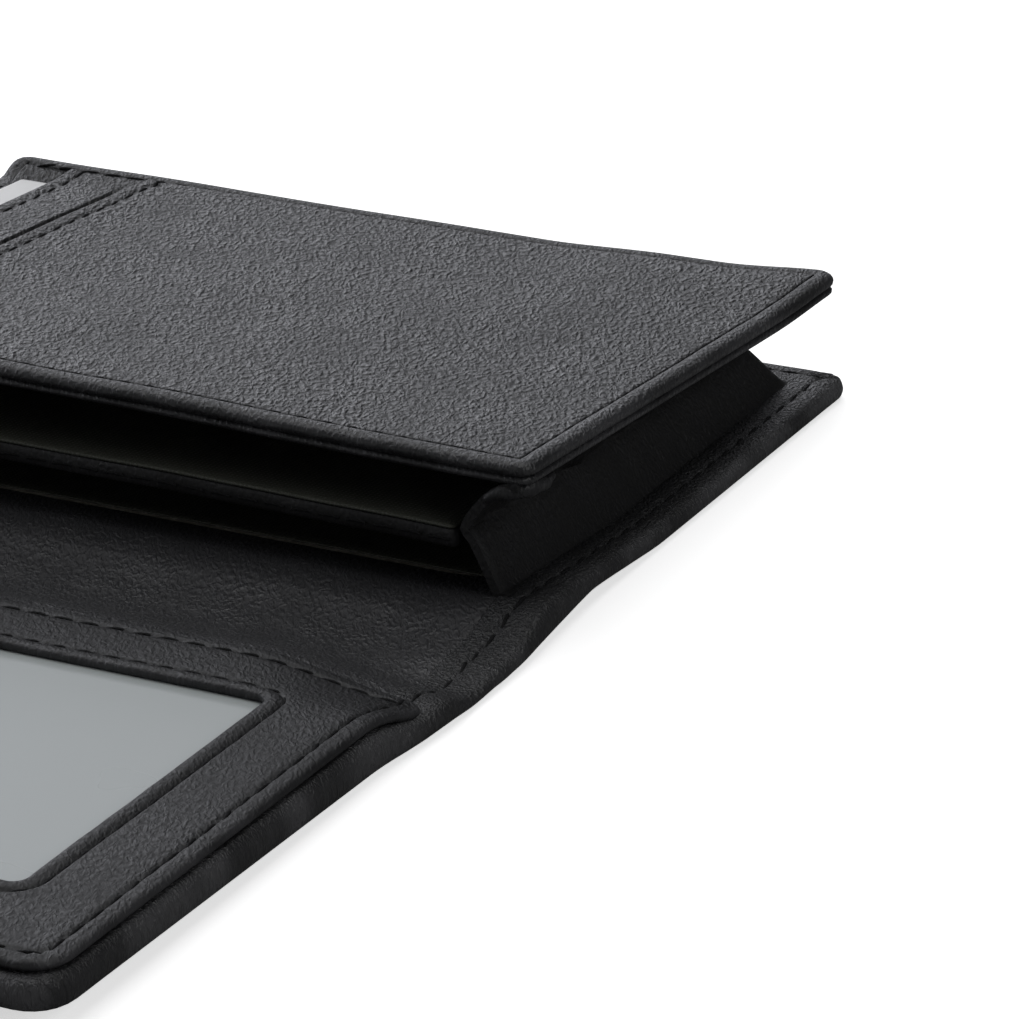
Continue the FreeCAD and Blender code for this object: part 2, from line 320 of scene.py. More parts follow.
forward = Vector((-math.sin(YAW) * math.cos(PITCH), math.cos(YAW) * math.cos(PITCH),
                  -math.sin(PITCH)))
level_right = Vector((math.cos(YAW), math.sin(YAW), 0))
level_up = level_right.cross(forward)
right = level_right * math.cos(ROLL) + level_up * math.sin(ROLL)
up = -level_right * math.sin(ROLL) + level_up * math.cos(ROLL)
camera = new_object("wallet_camera", bpy.data.cameras.new("wallet_camera"))
camera.data.lens = LENS
camera.data.sensor_width = SENSOR
camera.data.clip_start, camera.data.clip_end = 0.05, 20.0
turn = Matrix((right, up, -forward)).transposed()
camera.matrix_world = Matrix.Translation(EYE) @ turn.to_4x4()
bpy.context.scene.camera = camera
print("camera", round(EYE.length * 1000), "mm from the middle of the spine")


# %% Short ways to add nodes
def empty_tree(owner):
    """The emptied node tree of a material or of the room."""
    owner.use_nodes = True
    owner.node_tree.nodes.clear()
    return owner.node_tree


def add_node(tree, kind, values=None, **settings):
    """A node with its settings made; each of its values is a socket to link
    from, or a number or colour to set."""
    node = tree.nodes.new(kind)
    for setting, value in settings.items():
        setattr(node, setting, value)
    for key, value in (values or {}).items():
        if hasattr(value, "is_linked"):
            tree.links.new(value, node.inputs[key])
        else:
            node.inputs[key].default_value = value
    return node


def math_node(tree, operation, *values):
    """The result of a math node; each value is a socket or a number."""
    return add_node(tree, "ShaderNodeMath", dict(enumerate(values)),
                    operation=operation).outputs[0]


def fade(tree, value, start, end, low=0.0, high=1.0):
    """A smooth step from low to high, as a value passes from start to end."""
    return add_node(tree, "ShaderNodeMapRange",
                    {"Value": value, "From Min": start, "From Max": end,
                     "To Min": low, "To Max": high},
                    interpolation_type="SMOOTHSTEP").outputs["Result"]


# %% Room
WINDOW_WALL = Vector((-0.92, 0.38, 0.08))
WALL_EDGE = 0.45         # cosine of the angle from the wall where its light ends
DIM, BRIGHT = 0.045, 2.0
ROOM_COLOUR = (0.93, 0.94, 1.0, 1)

room = bpy.data.worlds.new("pale_room")
bpy.context.scene.world = room
room_tree = empty_tree(room)
where_to = add_node(room_tree, "ShaderNodeTexCoord").outputs["Generated"]
to_wall = add_node(room_tree, "ShaderNodeVectorMath", {0: where_to, 1: WINDOW_WALL.normalized()},
                   operation="DOT_PRODUCT").outputs["Value"]
room_light = add_node(room_tree, "ShaderNodeBackground",
                      {"Color": ROOM_COLOUR,
                       "Strength": fade(room_tree, to_wall, WALL_EDGE, 1.0, DIM, BRIGHT)})
add_node(room_tree, "ShaderNodeOutputWorld", {"Surface": room_light.outputs[0]})
print("room with", len(room_tree.nodes), "nodes")

# %% Floor
FLOOR_HALF = 1.6
PAPER_WHITE = (0.95, 0.95, 0.95, 1)
PAPER_BOUNCE = (0.30, 0.30, 0.30, 1)   # what the wallet gets back from the floor
PAPER_GLOW = 0.60                      # lifts the seen floor to an even white

floor_mesh = bpy.data.meshes.new("floor")
floor_mesh.from_pydata([(-FLOOR_HALF, -FLOOR_HALF, 0), (FLOOR_HALF, -FLOOR_HALF, 0),
                        (FLOOR_HALF, FLOOR_HALF, 0), (-FLOOR_HALF, FLOOR_HALF, 0)],
                       [], [(0, 1, 2, 3)])
floor = new_object("floor", floor_mesh)
floor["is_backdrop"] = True
paper = bpy.data.materials.new("white_paper")
paper_tree = empty_tree(paper)
who_looks = add_node(paper_tree, "ShaderNodeLightPath").outputs["Is Camera Ray"]
white = add_node(paper_tree, "ShaderNodeBsdfDiffuse", {"Color": PAPER_WHITE})
glow = add_node(paper_tree, "ShaderNodeEmission", {"Strength": PAPER_GLOW})
bounced = add_node(paper_tree, "ShaderNodeBsdfDiffuse", {"Color": PAPER_BOUNCE})
both = add_node(paper_tree, "ShaderNodeAddShader", {0: white.outputs[0], 1: glow.outputs[0]})
choose = add_node(paper_tree, "ShaderNodeMixShader",
                  {0: who_looks, 1: bounced.outputs[0], 2: both.outputs[0]})
add_node(paper_tree, "ShaderNodeOutputMaterial", {"Surface": choose.outputs[0]})
floor_mesh.materials.append(paper)
print("floor", 2 * FLOOR_HALF, "m wide")


# %% Soft panels
def soft_panel(name, place, target, size, power):
    """A large square light turned to face a point."""
    light = bpy.data.lights.new(name, "AREA")
    light.shape, light.size, light.energy = "SQUARE", size, power
    panel = new_object(name, light)
    panel.location = place
    aim = Vector(target) - Vector(place)
    panel.rotation_euler = aim.to_track_quat("-Z", "Y").to_euler()


soft_panel("overhead_panel", (-0.1, 0.3, 1.3), (0, 0, 0), size=1.2, power=7.6)
soft_panel("right_panel", (1.1, -0.2, 0.7), (0.03, 0.03, 0), size=0.7, power=3.6)
soft_panel("front_panel", (-0.15, -0.9, 0.16), (0, 0, 0.01), size=0.4, power=0.6)
bpy.context.scene.view_settings.view_transform = "Standard"
print("stage set")

# %% [markdown]
# ## Leather grain
# Milled leather has small rounded pebbles with creases between them. A noise
# bump alone looks like sand and cells alone look like scales, so the grain is
# half round domes, made from the distance to a cell's middle, and half soft
# noise. A warp makes both uneven and a finer set of cells breaks up their
# tops. It is one node group, used by every leather with its own pebble size.

# %% Pebble grain group
FLOAT, VECTOR = "NodeSocketFloat", "NodeSocketVector"


def group_of(name, kind, inputs, outputs):
    """A node group with inputs of (label, socket, value) and outputs of
    (label, socket)."""
    tree = bpy.data.node_groups.new(name, kind)
    for label, socket_kind, value in inputs:
        socket = tree.interface.new_socket(label, in_out="INPUT", socket_type=socket_kind)
        if value is not None:
            socket.default_value = value
    for label, socket_kind in outputs:
        tree.interface.new_socket(label, in_out="OUTPUT", socket_type=socket_kind)
    return tree, tree.nodes.new("NodeGroupInput"), tree.nodes.new("NodeGroupOutput")


grain_tree, grain_in, grain_out = group_of(
    "pebble_grain", "ShaderNodeTree",
    [("Vector", VECTOR, None), ("Pebbles per Metre", FLOAT, 1300.0), ("Unevenness", FLOAT, 0.5)],
    [("Height", FLOAT), ("Crease", FLOAT), ("Tone", FLOAT)])
plain, density = grain_in.outputs["Vector"], grain_in.outputs["Pebbles per Metre"]


def denser(times):
    """The pebble density times a number."""
    return math_node(grain_tree, "MULTIPLY", density, times)


warp = add_node(grain_tree, "ShaderNodeTexNoise", {"Vector": plain, "Scale": denser(0.45)})
centred = add_node(grain_tree, "ShaderNodeVectorMath",
                   {0: warp.outputs["Color"], 1: (0.5, 0.5, 0.5)}, operation="SUBTRACT")
push = add_node(grain_tree, "ShaderNodeVectorMath",
                {0: centred.outputs[0],
                 "Scale": math_node(grain_tree, "DIVIDE", grain_in.outputs["Unevenness"],
                                    denser(0.4))}, operation="SCALE")
warped = add_node(grain_tree, "ShaderNodeVectorMath",
                  {0: plain, 1: push.outputs[0]}, operation="ADD").outputs[0]
cells = add_node(grain_tree, "ShaderNodeTexVoronoi",
                 {"Vector": warped, "Scale": density, "Smoothness": 0.3}, feature="SMOOTH_F1")
fine = add_node(grain_tree, "ShaderNodeTexVoronoi",
                {"Vector": warped, "Scale": denser(2.3)}, feature="SMOOTH_F1")
patches = add_node(grain_tree, "ShaderNodeTexNoise",
                   {"Vector": plain, "Scale": 140.0, "Detail": 3.0}).outputs["Fac"]
worms = add_node(grain_tree, "ShaderNodeTexNoise",
                 {"Vector": warped, "Scale": denser(1.25), "Detail": 1.0})
rounds = fade(grain_tree, cells.outputs["Distance"], 0.85, 0.05)
soft = fade(grain_tree, worms.outputs["Fac"], 0.30, 0.70)
dome = math_node(grain_tree, "MULTIPLY_ADD", soft, 0.5,
                 math_node(grain_tree, "MULTIPLY", rounds, 0.5))
crumbs = math_node(grain_tree, "MULTIPLY", fine.outputs["Distance"], -0.12)
strength = math_node(grain_tree, "MULTIPLY_ADD", fade(grain_tree, patches, 0.25, 0.7), 0.45, 0.55)
height = math_node(grain_tree, "MULTIPLY", math_node(grain_tree, "ADD", dome, crumbs), strength)
crease = math_node(grain_tree, "SUBTRACT", 1.0, dome)
for label, value in (("Height", height), ("Crease", crease), ("Tone", patches)):
    grain_tree.links.new(value, grain_out.inputs[label])
print("pebble grain group with", len(grain_tree.nodes), "nodes")

# %% [markdown]
# ## Leather, thread, lining, film and card
# Each finish is one material. The leathers are near black with a cool tint
# and a satin sheen. Their edges are painted a lighter tone, a painted
# highlight for the light that the rolled edges catch; it follows the rim value
# stored on each mesh, so it stays on the real edges.

# %% Finish helpers
def grain_vector(tree, stretch=(1, 1, 1), aslant=0.0):
    """Object coordinates, turned aslant and divided by the stretch, so that
    a value above 1 draws the pattern out along that direction."""
    place = add_node(tree, "ShaderNodeTexCoord").outputs["Object"]
    return add_node(tree, "ShaderNodeMapping",
                    {"Vector": place, "Rotation": (0, 0, math.radians(aslant)),
                     "Scale": stretch}, vector_type="TEXTURE").outputs["Vector"]


def two_tones(tree, mask, first, second):
    """Two colours mixed by a mask; each is a socket or three numbers."""
    first, second = (tone if hasattr(tone, "is_linked") else (*tone, 1)
                     for tone in (first, second))
    return add_node(tree, "ShaderNodeMix", {"Factor": mask, "A": first, "B": second},
                    data_type="RGBA").outputs["Result"]


def new_finish(name):
    """A material with a Principled shader and its output."""
    material = bpy.data.materials.new(name)
    tree = empty_tree(material)
    shader = add_node(tree, "ShaderNodeBsdfPrincipled")
    add_node(tree, "ShaderNodeOutputMaterial", {"Surface": shader.outputs[0]})
    return material, tree, shader


def give_finish(tree, shader, colour, roughness, height, depth, strength=1.0):
    """Colour, roughness and a bump of a real depth in millimetres."""
    bump = add_node(tree, "ShaderNodeBump",
                    {"Distance": depth * MM, "Strength": strength, "Height": height})
    for label, value in (("Base Color", colour), ("Roughness", roughness),
                         ("Normal", bump.outputs["Normal"])):
        tree.links.new(value, shader.inputs[label])


# %% Leather finish
# Painted shade: the creases between the pebbles are mixed towards a darker copy of the dark tone.
CREASE_SHADE = 0.35       # colour of a crease, as a share of the dark tone
# Painted highlight: the share by which an edge is mixed towards its lighter edge tone.
EDGE_HIGHLIGHT = 0.6                # how far an edge turns to the worn tone


def leather(name, dark, light, edge_lit, pebble, unevenness, depth, smoothest, roughest,
            stretch, gloss=0.5, aslant=0.0):
    """A leather finish; pebble and depth are in millimetres."""
    material, tree, shader = new_finish(name)
    grain = add_node(tree, "ShaderNodeGroup",
                     {"Vector": grain_vector(tree, stretch, aslant),
                      "Pebbles per Metre": 1.0 / (pebble * MM), "Unevenness": unevenness},
                     node_tree=grain_tree)
    tone = grain.outputs["Tone"]
    skin = two_tones(tree, fade(tree, tone, 0.3, 0.7), dark, light)
    # Painted shade in the creases between the pebbles.
    crease_shaded = two_tones(tree, math_node(tree, "MULTIPLY", grain.outputs["Crease"], 0.5),
                        skin, tuple(v * CREASE_SHADE for v in dark))
    # Painted highlight on the edges: the rim value, broken up by the tone patches, mixes the colour
    # towards the lighter edge tone.
    rim = add_node(tree, "ShaderNodeAttribute", attribute_name="rim").outputs["Fac"]
    edge_highlight_mask = math_node(tree, "MULTIPLY", rim, fade(tree, tone, 0.35, 0.65))
    colour = two_tones(tree, math_node(tree, "MULTIPLY", edge_highlight_mask, EDGE_HIGHLIGHT), crease_shaded, edge_lit)
    rough = add_node(tree, "ShaderNodeMapRange",
                     {"Value": grain.outputs["Height"], "To Min": roughest, "To Max": smoothest})
    shader.inputs["Specular IOR Level"].default_value = gloss
    give_finish(tree, shader, colour, rough.outputs["Result"], grain.outputs["Height"], depth)
    print(name, "pebbles of", pebble, "mm")
    return material


# %% The six leathers
PANEL_HIDE = {"dark": (0.0065, 0.0067, 0.0075), "light": (0.0120, 0.0122, 0.0135),
              "edge_lit": (0.040, 0.040, 0.043)}
pebbled_leather = leather("pebbled_black_leather", **PANEL_HIDE,
                          pebble=0.54, unevenness=0.6, depth=0.30, smoothest=0.21,
                          roughest=0.58, stretch=(1, 1.8, 2.0), aslant=30.0)
edge_leather = leather("smooth_rolled_leather", **PANEL_HIDE,
                       pebble=0.46, unevenness=0.6, depth=0.16, smoothest=0.24,
                       roughest=0.58, stretch=(1, 1.6, 1.8), aslant=30.0)
cover_leather = leather("ribbed_cover_leather", dark=(0.0125, 0.0127, 0.0137),
                        light=(0.0220, 0.0222, 0.0238), edge_lit=(0.075, 0.075, 0.079),
                        pebble=0.42, unevenness=0.9, depth=0.24, smoothest=0.28,
                        roughest=0.60, stretch=(1, 1.1, 3.3))
frame_leather = leather("fine_grained_leather", dark=(0.0075, 0.0077, 0.0085),
                        light=(0.0125, 0.0127, 0.0138), edge_lit=(0.042, 0.042, 0.045),
                        pebble=0.50, unevenness=0.7, depth=0.11, smoothest=0.34,
                        roughest=0.62, stretch=(1, 1.8, 2.2), gloss=0.36, aslant=30.0)
# Painted light: the spine leather is given a colour about three times as light as the panel's,
# standing in for the light that reaches the spine below the pocket's mouth.
spine_leather = leather("speckled_spine_leather", dark=(0.0210, 0.0210, 0.0228),
                        light=(0.0340, 0.0340, 0.0362), edge_lit=(0.030, 0.030, 0.032),
                        pebble=0.50, unevenness=0.7, depth=0.16, smoothest=0.22,
                        roughest=0.62, stretch=(1, 1.8, 2.0), aslant=30.0)
# Painted shade: the gusset leather is given a colour about five times as dark as the panel's,
# standing in for the shade inside the pocket.
gusset_leather = leather("soft_gusset_leather", dark=(0.0012, 0.0012, 0.0014),
                         light=(0.0026, 0.0026, 0.0029), edge_lit=(0.014, 0.014, 0.015),
                         pebble=0.6, unevenness=0.9, depth=0.10, smoothest=0.42,
                         roughest=0.75, stretch=(1, 1, 1.4), gloss=0.45)


# %% Lining and thread
def bands(tree, vector, direction, scale, distortion=0.0):
    """Even bands along one direction."""
    return add_node(tree, "ShaderNodeTexWave",
                    {"Vector": vector, "Scale": scale, "Distortion": distortion},
                    bands_direction=direction).outputs["Fac"]


lining_cloth, tree, shader = new_finish("olive_grey_lining")
vector = grain_vector(tree)
woven = math_node(tree, "MAXIMUM", bands(tree, vector, "X", 620.0, 0.6),
                  bands(tree, vector, "Y", 620.0, 0.6))
give_finish(tree, shader, two_tones(tree, woven, (0.026, 0.028, 0.020), (0.050, 0.053, 0.040)),
            fade(tree, woven, -1.0, 1.6), woven, depth=0.05)

black_thread, tree, shader = new_finish("waxed_black_thread")
twist = bands(tree, grain_vector(tree), "DIAGONAL", 900.0)
shader.inputs["Specular IOR Level"].default_value = 0.15
give_finish(tree, shader, two_tones(tree, twist, (0.003, 0.003, 0.003), (0.011, 0.011, 0.012)),
            fade(tree, twist, -2.6, 1.5), twist, depth=0.04)
print("lining and thread ready")


# %% Film, card and board
def mottled_finish(name, scale, detail, first, second, sharpness, rough_by, rough_from, depth,
                   strength=1.0):
    """A finish whose tone, roughness and bump all follow one noise. sharpness
    is the two limits that the tones fade between, or None for the noise itself."""
    material, tree, shader = new_finish(name)
    noise = add_node(tree, "ShaderNodeTexNoise",
                     {"Vector": grain_vector(tree), "Scale": scale,
                      "Detail": detail}).outputs["Fac"]
    mask = fade(tree, noise, *sharpness) if sharpness else noise
    give_finish(tree, shader, two_tones(tree, mask, first, second),
                math_node(tree, "MULTIPLY_ADD", noise, rough_by, rough_from),
                noise, depth, strength)
    print(name, "ready")
    return material


window_film = mottled_finish("clear_window_film", scale=22.0, detail=4.0,
                             first=(0.345, 0.374, 0.370), second=(0.365, 0.394, 0.390),
                             sharpness=(0.3, 0.7), rough_by=0.16, rough_from=0.2,
                             depth=0.1, strength=0.25)
blank_card = mottled_finish("white_card_stock", scale=900.0, detail=3.0,
                            first=(0.66, 0.66, 0.65), second=(0.74, 0.74, 0.735),
                            sharpness=None, rough_by=0.2, rough_from=0.3, depth=0.01)
pressed_board = mottled_finish("pressed_fibre_board", scale=700.0, detail=5.0,
                               first=(0.26, 0.24, 0.20), second=(0.36, 0.335, 0.29),
                               sharpness=(0.35, 0.65), rough_by=0.2, rough_from=0.7, depth=0.03)


def finish_piece(piece, material, slot, *nodes):
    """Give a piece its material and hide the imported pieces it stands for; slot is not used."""
    piece.data.materials.clear()
    piece.data.materials.append(material)
    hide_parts(*nodes)
    print(piece.name, len(piece.data.polygons), "faces")
    return piece


# %% [markdown]
# ## The outer leather
# One sheet covers both halves and the spine. Its edge is turned in around the
# boards; around the pocket the turned edge also covers the gusset's foot. It
# is made in one go, so that the fold runs on without a step, and then cut at
# the middle of the spine into two halves.

# %% Outer leather
SEAM_INSET = 2.1
SEAM_LEVEL = 0.93        # the seam's groove, as a share of the edge's height
BAND = 4.80              # turned edge around the pocket, in from the cover edge
BAND_TOP = 2.4
SPINE_EDGE_TOP = 2.1
COVER_ROLL = 1.05
RECESS_INSET = 5.0
COVER_RADII = (4.5, 4.5, 2.5, 2.5)
cover_rect = (-HALF_WIDTH, HALF_WIDTH, -HALF_LENGTH, HALF_LENGTH)


def cover_edge_top(y):
    """Height of the turned edge above the layers' ground."""
    pocket = (BAND_TOP - SPINE_EDGE_TOP) * smooth(FOLD, FOLD + 3.2, y)
    front = (HEM_TOP - SPINE_EDGE_TOP) * smooth(FOLD + 2.8, FOLD + 5.5, -y)
    return SPINE_EDGE_TOP + pocket + front


def inner_face_top(y):
    """Height of the hem inside the turned edge."""
    return COVER_LEATHER + (HEM_TOP - COVER_LEATHER) * smooth(FOLD, FOLD + 1.5, abs(y))


def place_cover(x, y, inset, level):
    """level 0 is the underside, 1 the turned edge, 2 the hem, 3 the recess."""
    base, under = ground(x, y), table_side(y)
    wave = 0.06 * ripple(x, y, 34.0, 3)
    bulge = rim_bulge(y) * smooth(2.1, 0.2, inset)
    end_bulge = 1.2 * smooth(2.1, 0.2, inset) * smooth(-HALF_LENGTH + 8, -HALF_LENGTH + 2, y)
    if level <= 1:
        z = under + level * (base + cover_edge_top(y) - under)
        gathers = smooth(8.5, 4.0, np.hypot(HALF_WIDTH - abs(x), HALF_LENGTH - abs(y)))
        angle = np.arctan2(HALF_LENGTH - abs(y) - 4.5, HALF_WIDTH - abs(x) - 4.5)
        z = z + 0.15 * level * gathers * np.sin(angle * 26) * smooth(5.5, 0.5, inset)
    elif level == 2:
        z = base + inner_face_top(y)
    else:
        z = base + COVER_LEATHER
    out = smooth(HALF_WIDTH - 7, HALF_WIDTH - 5, abs(x)) * np.sign(x)
    return np.stack([x + bulge * out, y - end_bulge,
                     z + wave * smooth(0, 4, inset) * (level < 2)], -1)


cover_profile = ([(8.0, 0.0), (4.5, 0.0), (2.2, 0.0)]
                 + rolled(COVER_ROLL, 0.0, 1.0, 10)
                 + [(1.5, 1.0), (1.85, 0.985), (SEAM_INSET, SEAM_LEVEL), (2.35, 0.985),
                    (2.8, 1.0), (3.4, 1.0), (4.4, 1.0), (4.65, 0.97), (BAND, 0.9),
                    (BAND + 0.05, 2),
                    (RECESS_INSET - 0.05, 2), (RECESS_INSET + 0.05, 3), (8.0, 3)])
cover_whole = leather_sheet("outer_leather", cover_rect, COVER_RADII, cover_profile,
                            place_cover, 52, 124)
print("outer leather in one sheet:", len(cover_whole.data.vertices), "points")


# %% Cut at the middle of the spine
def half_of(whole, name, side):
    """The half of a closed piece with y above 0 (side 1) or below (-1)."""
    work = bmesh.new()
    work.from_mesh(whole.data)
    everything = list(work.verts) + list(work.edges) + list(work.faces)
    bmesh.ops.bisect_plane(work, geom=everything, dist=1e-7, plane_co=(0, 0, 0),
                           plane_no=(0, 1, 0), clear_inner=side > 0, clear_outer=side < 0)
    rim_edges = [e for e in work.edges if e.is_boundary]
    bmesh.ops.holes_fill(work, edges=rim_edges, sides=0)
    bmesh.ops.recalc_face_normals(work, faces=work.faces)
    for edge in work.edges:
        if all(abs(v.co.y) < 1e-6 for v in edge.verts):
            edge.smooth = False
    mesh = bpy.data.meshes.new(name)
    work.to_mesh(mesh)
    work.free()
    return new_object(name, mesh)


def bend_at_fold(piece, side):
    """Bake a half's place into its mesh."""
    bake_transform(piece)


def split_over_spine(whole, names, material, slot, nodes):
    """Cut a sheet at y = 0, finish both halves and bake each one's place into its mesh."""
    for name, side, stands_for in zip(names, (1, -1), nodes):
        piece = half_of(whole, name, side)
        finish_piece(piece, material, slot, *stands_for)
        bend_at_fold(piece, side)
    bpy.data.objects.remove(whole)


split_over_spine(cover_whole, ("outer_leather_pocket_side", "outer_leather_window_side"),
                 cover_leather, "grain_leather",
                 (("back_cover_leather", "spine_outer_leather"), ("front_cover_leather",)))

# %% [markdown]
# ## Inside of the spine, the linings and the boards
# A second leather faces the inside of the spine and runs on a little way
# under the ID panel and into the pocket. Cloth lines the rest. The stiff
# boards are thin sheets between the leather and the linings.

# %% Spine facing
FACING_FRONT = -FOLD - 5.6
FACING_BACK = FOLD + 7.0
FACING_INSET = 4.65


def place_facing(x, y, inset, level):
    """The spine facing lies on the outer leather and sags with it."""
    wave = 0.10 * ripple(x, y, 17.0, 11) + 0.05 * ripple(x, y, 6.0, 12)
    pinch = 0.25 * smooth(9, 3, np.hypot(HALF_WIDTH - abs(x), y - FOLD)) * ripple(x, y, 2.6, 5)
    lift = 0.0 if level < COVER_LEATHER + 0.1 else 1.0
    swell = 0.5 * smooth(14.0, 5.0, HALF_WIDTH - abs(x))
    return np.stack([x, y, ground(x, y) + level
                     + lift * ((wave + pinch) * smooth(0, 3, inset) + swell)], -1)


facing_profile = ([(9.0, COVER_LEATHER + 0.02), (2.0, COVER_LEATHER + 0.02)]
                  + rolled(0.5, COVER_LEATHER + 0.02, SPINE_TOP + 0.06, 6)
                  + [(1.2, SPINE_TOP + 0.1), (2.8, SPINE_TOP + 0.1), (5.0, SPINE_TOP + 0.08),
                     (9.0, SPINE_TOP + 0.05)])
facing = leather_sheet("spine_facing",
                       (-HALF_WIDTH + FACING_INSET, HALF_WIDTH - FACING_INSET,
                        FACING_FRONT, FACING_BACK), (0.4,) * 4, facing_profile,
                       place_facing, 90, 24)
split_over_spine(facing, ("spine_facing_pocket_side", "spine_facing_window_side"),
                 spine_leather, "soft_leather", (("spine_inner_leather",), ()))

# %% Linings and boards
CLOTH = 0.28             # thickness of the lining
LAID_AT = HEM_TOP + 0.02


def cloth_sheet(name, rect, level, node, body):
    """A thin woven lining, glued down flat."""
    def place(x, y, inset, height):
        return np.stack([x, y, ground(x, y) + height + 0.02 * ripple(x, y, 12.0, 8)], -1)
    profile = thin_edge(4.0, level, level + CLOTH, 0.14, between=(1.5,))
    piece = leather_sheet(name, rect, (1.0,) * 4, profile, place, 30, 40)
    finish_piece(piece, lining_cloth, "lining", node)
    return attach(piece, body)


cloth_sheet("pocket_floor_lining", (-49.1, 49.1, 16.6, 76.9), LAID_AT,
            "back_cover_lining", "back_cover")
cloth_sheet("window_side_lining", (-50.2, 50.2, -78.1, -FOLD - 5.4), LAID_AT,
            "front_cover_lining", "front_cover")

BOARD_GAP = 0.05         # the drawn board is this much smaller all round
for node, body in (("back_cover_board", "back_cover"), ("front_cover_board", "front_cover")):
    low, high = edges_of(node)
    board = leather_sheet(
        node.replace("cover_", "") + "_sheet",
        (low[0] + BOARD_GAP, high[0] - BOARD_GAP, low[1] + BOARD_GAP, high[1] - BOARD_GAP),
        (0.5,) * 4, thin_edge(4.0, COVER_LEATHER + 0.01, HEM_TOP - 0.01, 0.05),
        lambda x, y, inset, level: np.stack([x, y, ground(x, y) + level], -1), 30, 40)
    finish_piece(board, pressed_board, "board", node)
    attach(board, body)

# %% [markdown]
# ## The ID panel and its window
# A smooth leather frame with a rounded outer edge and a thick turned lip
# around the window. A frame is one loop of cross-sections, so it is lofted
# from outlines set in from its own edge and outlines set out from the window.

# %% ID panel
ID_INSET = 0.05
ID_MOUTH = -(FOLD + 2.9)
ID_LOW, ID_TOP = 1.71, 2.62
ID_SIDE = 1.44           # its outer edge is turned down to the hem
WINDOW_HALF, WINDOW_FAR = 41.3, ID_MOUTH - 10.2
WINDOW_NEAR = WINDOW_FAR - 45.0
WINDOW_SEAM = 2.0
# The window's lip gets a smaller share of the painted edge highlight than the outer edges.
WINDOW_HIGHLIGHT = 0.7         # the window's lip is rubbed less than the outer edges
FILM_REACH = 4.7         # the film's bed reaches this far under the frame
FILM_LOW, FILM_TOP = 1.72, 1.92
LIP_TOP = 2.95


def place_id(x, y, level):
    """The ID panel lies on the front cover and droops with it at the fold."""
    rise = smooth(ID_LOW, ID_TOP, level)
    wave = 0.07 * ripple(x, y, 26.0, 21) + 0.03 * ripple(x, y, 8.0, 22)
    in_x, in_y = HALF_WIDTH - 5 - abs(x), HALF_LENGTH - 5 + y
    away = np.hypot(np.minimum(in_x, 0), np.minimum(in_y, 0))
    wave = wave + 0.13 * smooth(2.2, 3.6, away) * np.sin(22 * np.arctan2(in_y, in_x)) * (
        (in_x < 0) & (in_y < 0))
    tuck = 0.5 * smooth(-20.0, -13.0, y) * smooth(HALF_WIDTH - 3.0, HALF_WIDTH - 0.4, abs(x))
    return np.stack([x, y, ground(x, y) + level + rise * wave - tuck], -1)


id_rect = (-HALF_WIDTH + ID_INSET, HALF_WIDTH - ID_INSET, -HALF_LENGTH + ID_INSET, ID_MOUTH)
window_rect = (-WINDOW_HALF, WINDOW_HALF, WINDOW_NEAR, WINDOW_FAR)
WINDOW_RADII = (1.5,) * 4
ID_RADII = (4.0, 4.0, 1.6, 1.6)
id_seam = SEAM_INSET - ID_INSET
ID_STEPS = (60, 44)

outer_part = ([(4.2, ID_LOW), (3.2, ID_LOW), (2.6, ID_SIDE)] + rolled(0.85, ID_SIDE, ID_TOP, 10)
              + [(1.3, ID_TOP + 0.05), (id_seam - 0.35, ID_TOP + 0.04),
                 (id_seam, ID_TOP - 0.16), (id_seam + 0.35, ID_TOP + 0.03),
                 (2.9, ID_TOP + 0.08), (4.2, ID_TOP + 0.1)])
window_part = [(5.2, ID_TOP + 0.1), (3.2, ID_TOP + 0.1), (2.5, ID_TOP + 0.12),
               (2.25, ID_TOP + 0.08), (WINDOW_SEAM, ID_TOP - 0.1), (1.75, ID_TOP + 0.1),
               (1.3, LIP_TOP - 0.06), (0.8, LIP_TOP), (0.4, LIP_TOP - 0.04),
               (0.12, LIP_TOP - 0.18), (0.0, LIP_TOP - 0.42), (0.0, FILM_TOP + 0.3),
               (0.12, FILM_TOP + 0.08), (0.5, FILM_TOP + 0.03), (FILM_REACH, FILM_TOP + 0.03),
               (FILM_REACH + 0.02, ID_LOW)]
sections = [(outline(id_rect, ID_RADII, inset, *ID_STEPS), level, rim_value(inset))
            for inset, level in outer_part]
from_line = sections[-1][0]
to_line = outline(window_rect, WINDOW_RADII, -window_part[0][0], *ID_STEPS)
sections += [(from_line + (to_line - from_line) * share, ID_TOP + 0.1, 0.0)
             for share in (0.35, 0.7)]
sections += [(outline(window_rect, WINDOW_RADII, -outset, *ID_STEPS), level,
              WINDOW_HIGHLIGHT * rim_value(outset)) for outset, level in window_part]
id_panel = loft("id_panel", [place_id(*line.T, level) for line, level, _ in sections],
                [highlight_share for _, _, highlight_share in sections], closed=True)
finish_piece(id_panel, frame_leather, "soft_leather", "id_panel_leather")
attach(id_panel, "front_cover")


# %% Window film
def place_film(x, y, inset, level):
    """The film, with a pale insert behind it, is very slightly wavy."""
    return np.stack([x, y, ground(x, y) + level + 0.015 * ripple(x, y, 40.0, 31)], -1)


film_out = FILM_REACH - 0.1
film = leather_sheet("window_film",
                     (-WINDOW_HALF - film_out, WINDOW_HALF + film_out,
                      WINDOW_NEAR - film_out, WINDOW_FAR + film_out), (1.0,) * 4,
                     thin_edge(3.0, FILM_LOW, FILM_TOP, 0.1, between=(1.2,)),
                     place_film, 40, 24)
finish_piece(film, window_film, "film", "id_window_film")
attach(film, "front_cover")

# %% [markdown]
# ## The pocket panel
# The panel is drawn flat, with its mouth at y = 0 and its underside at z = 0,
# and then tipped into place. A rolled edge runs all round; the base, the card
# slot strip and the face leather fill it in steps. The far right corner has
# curled up with use.

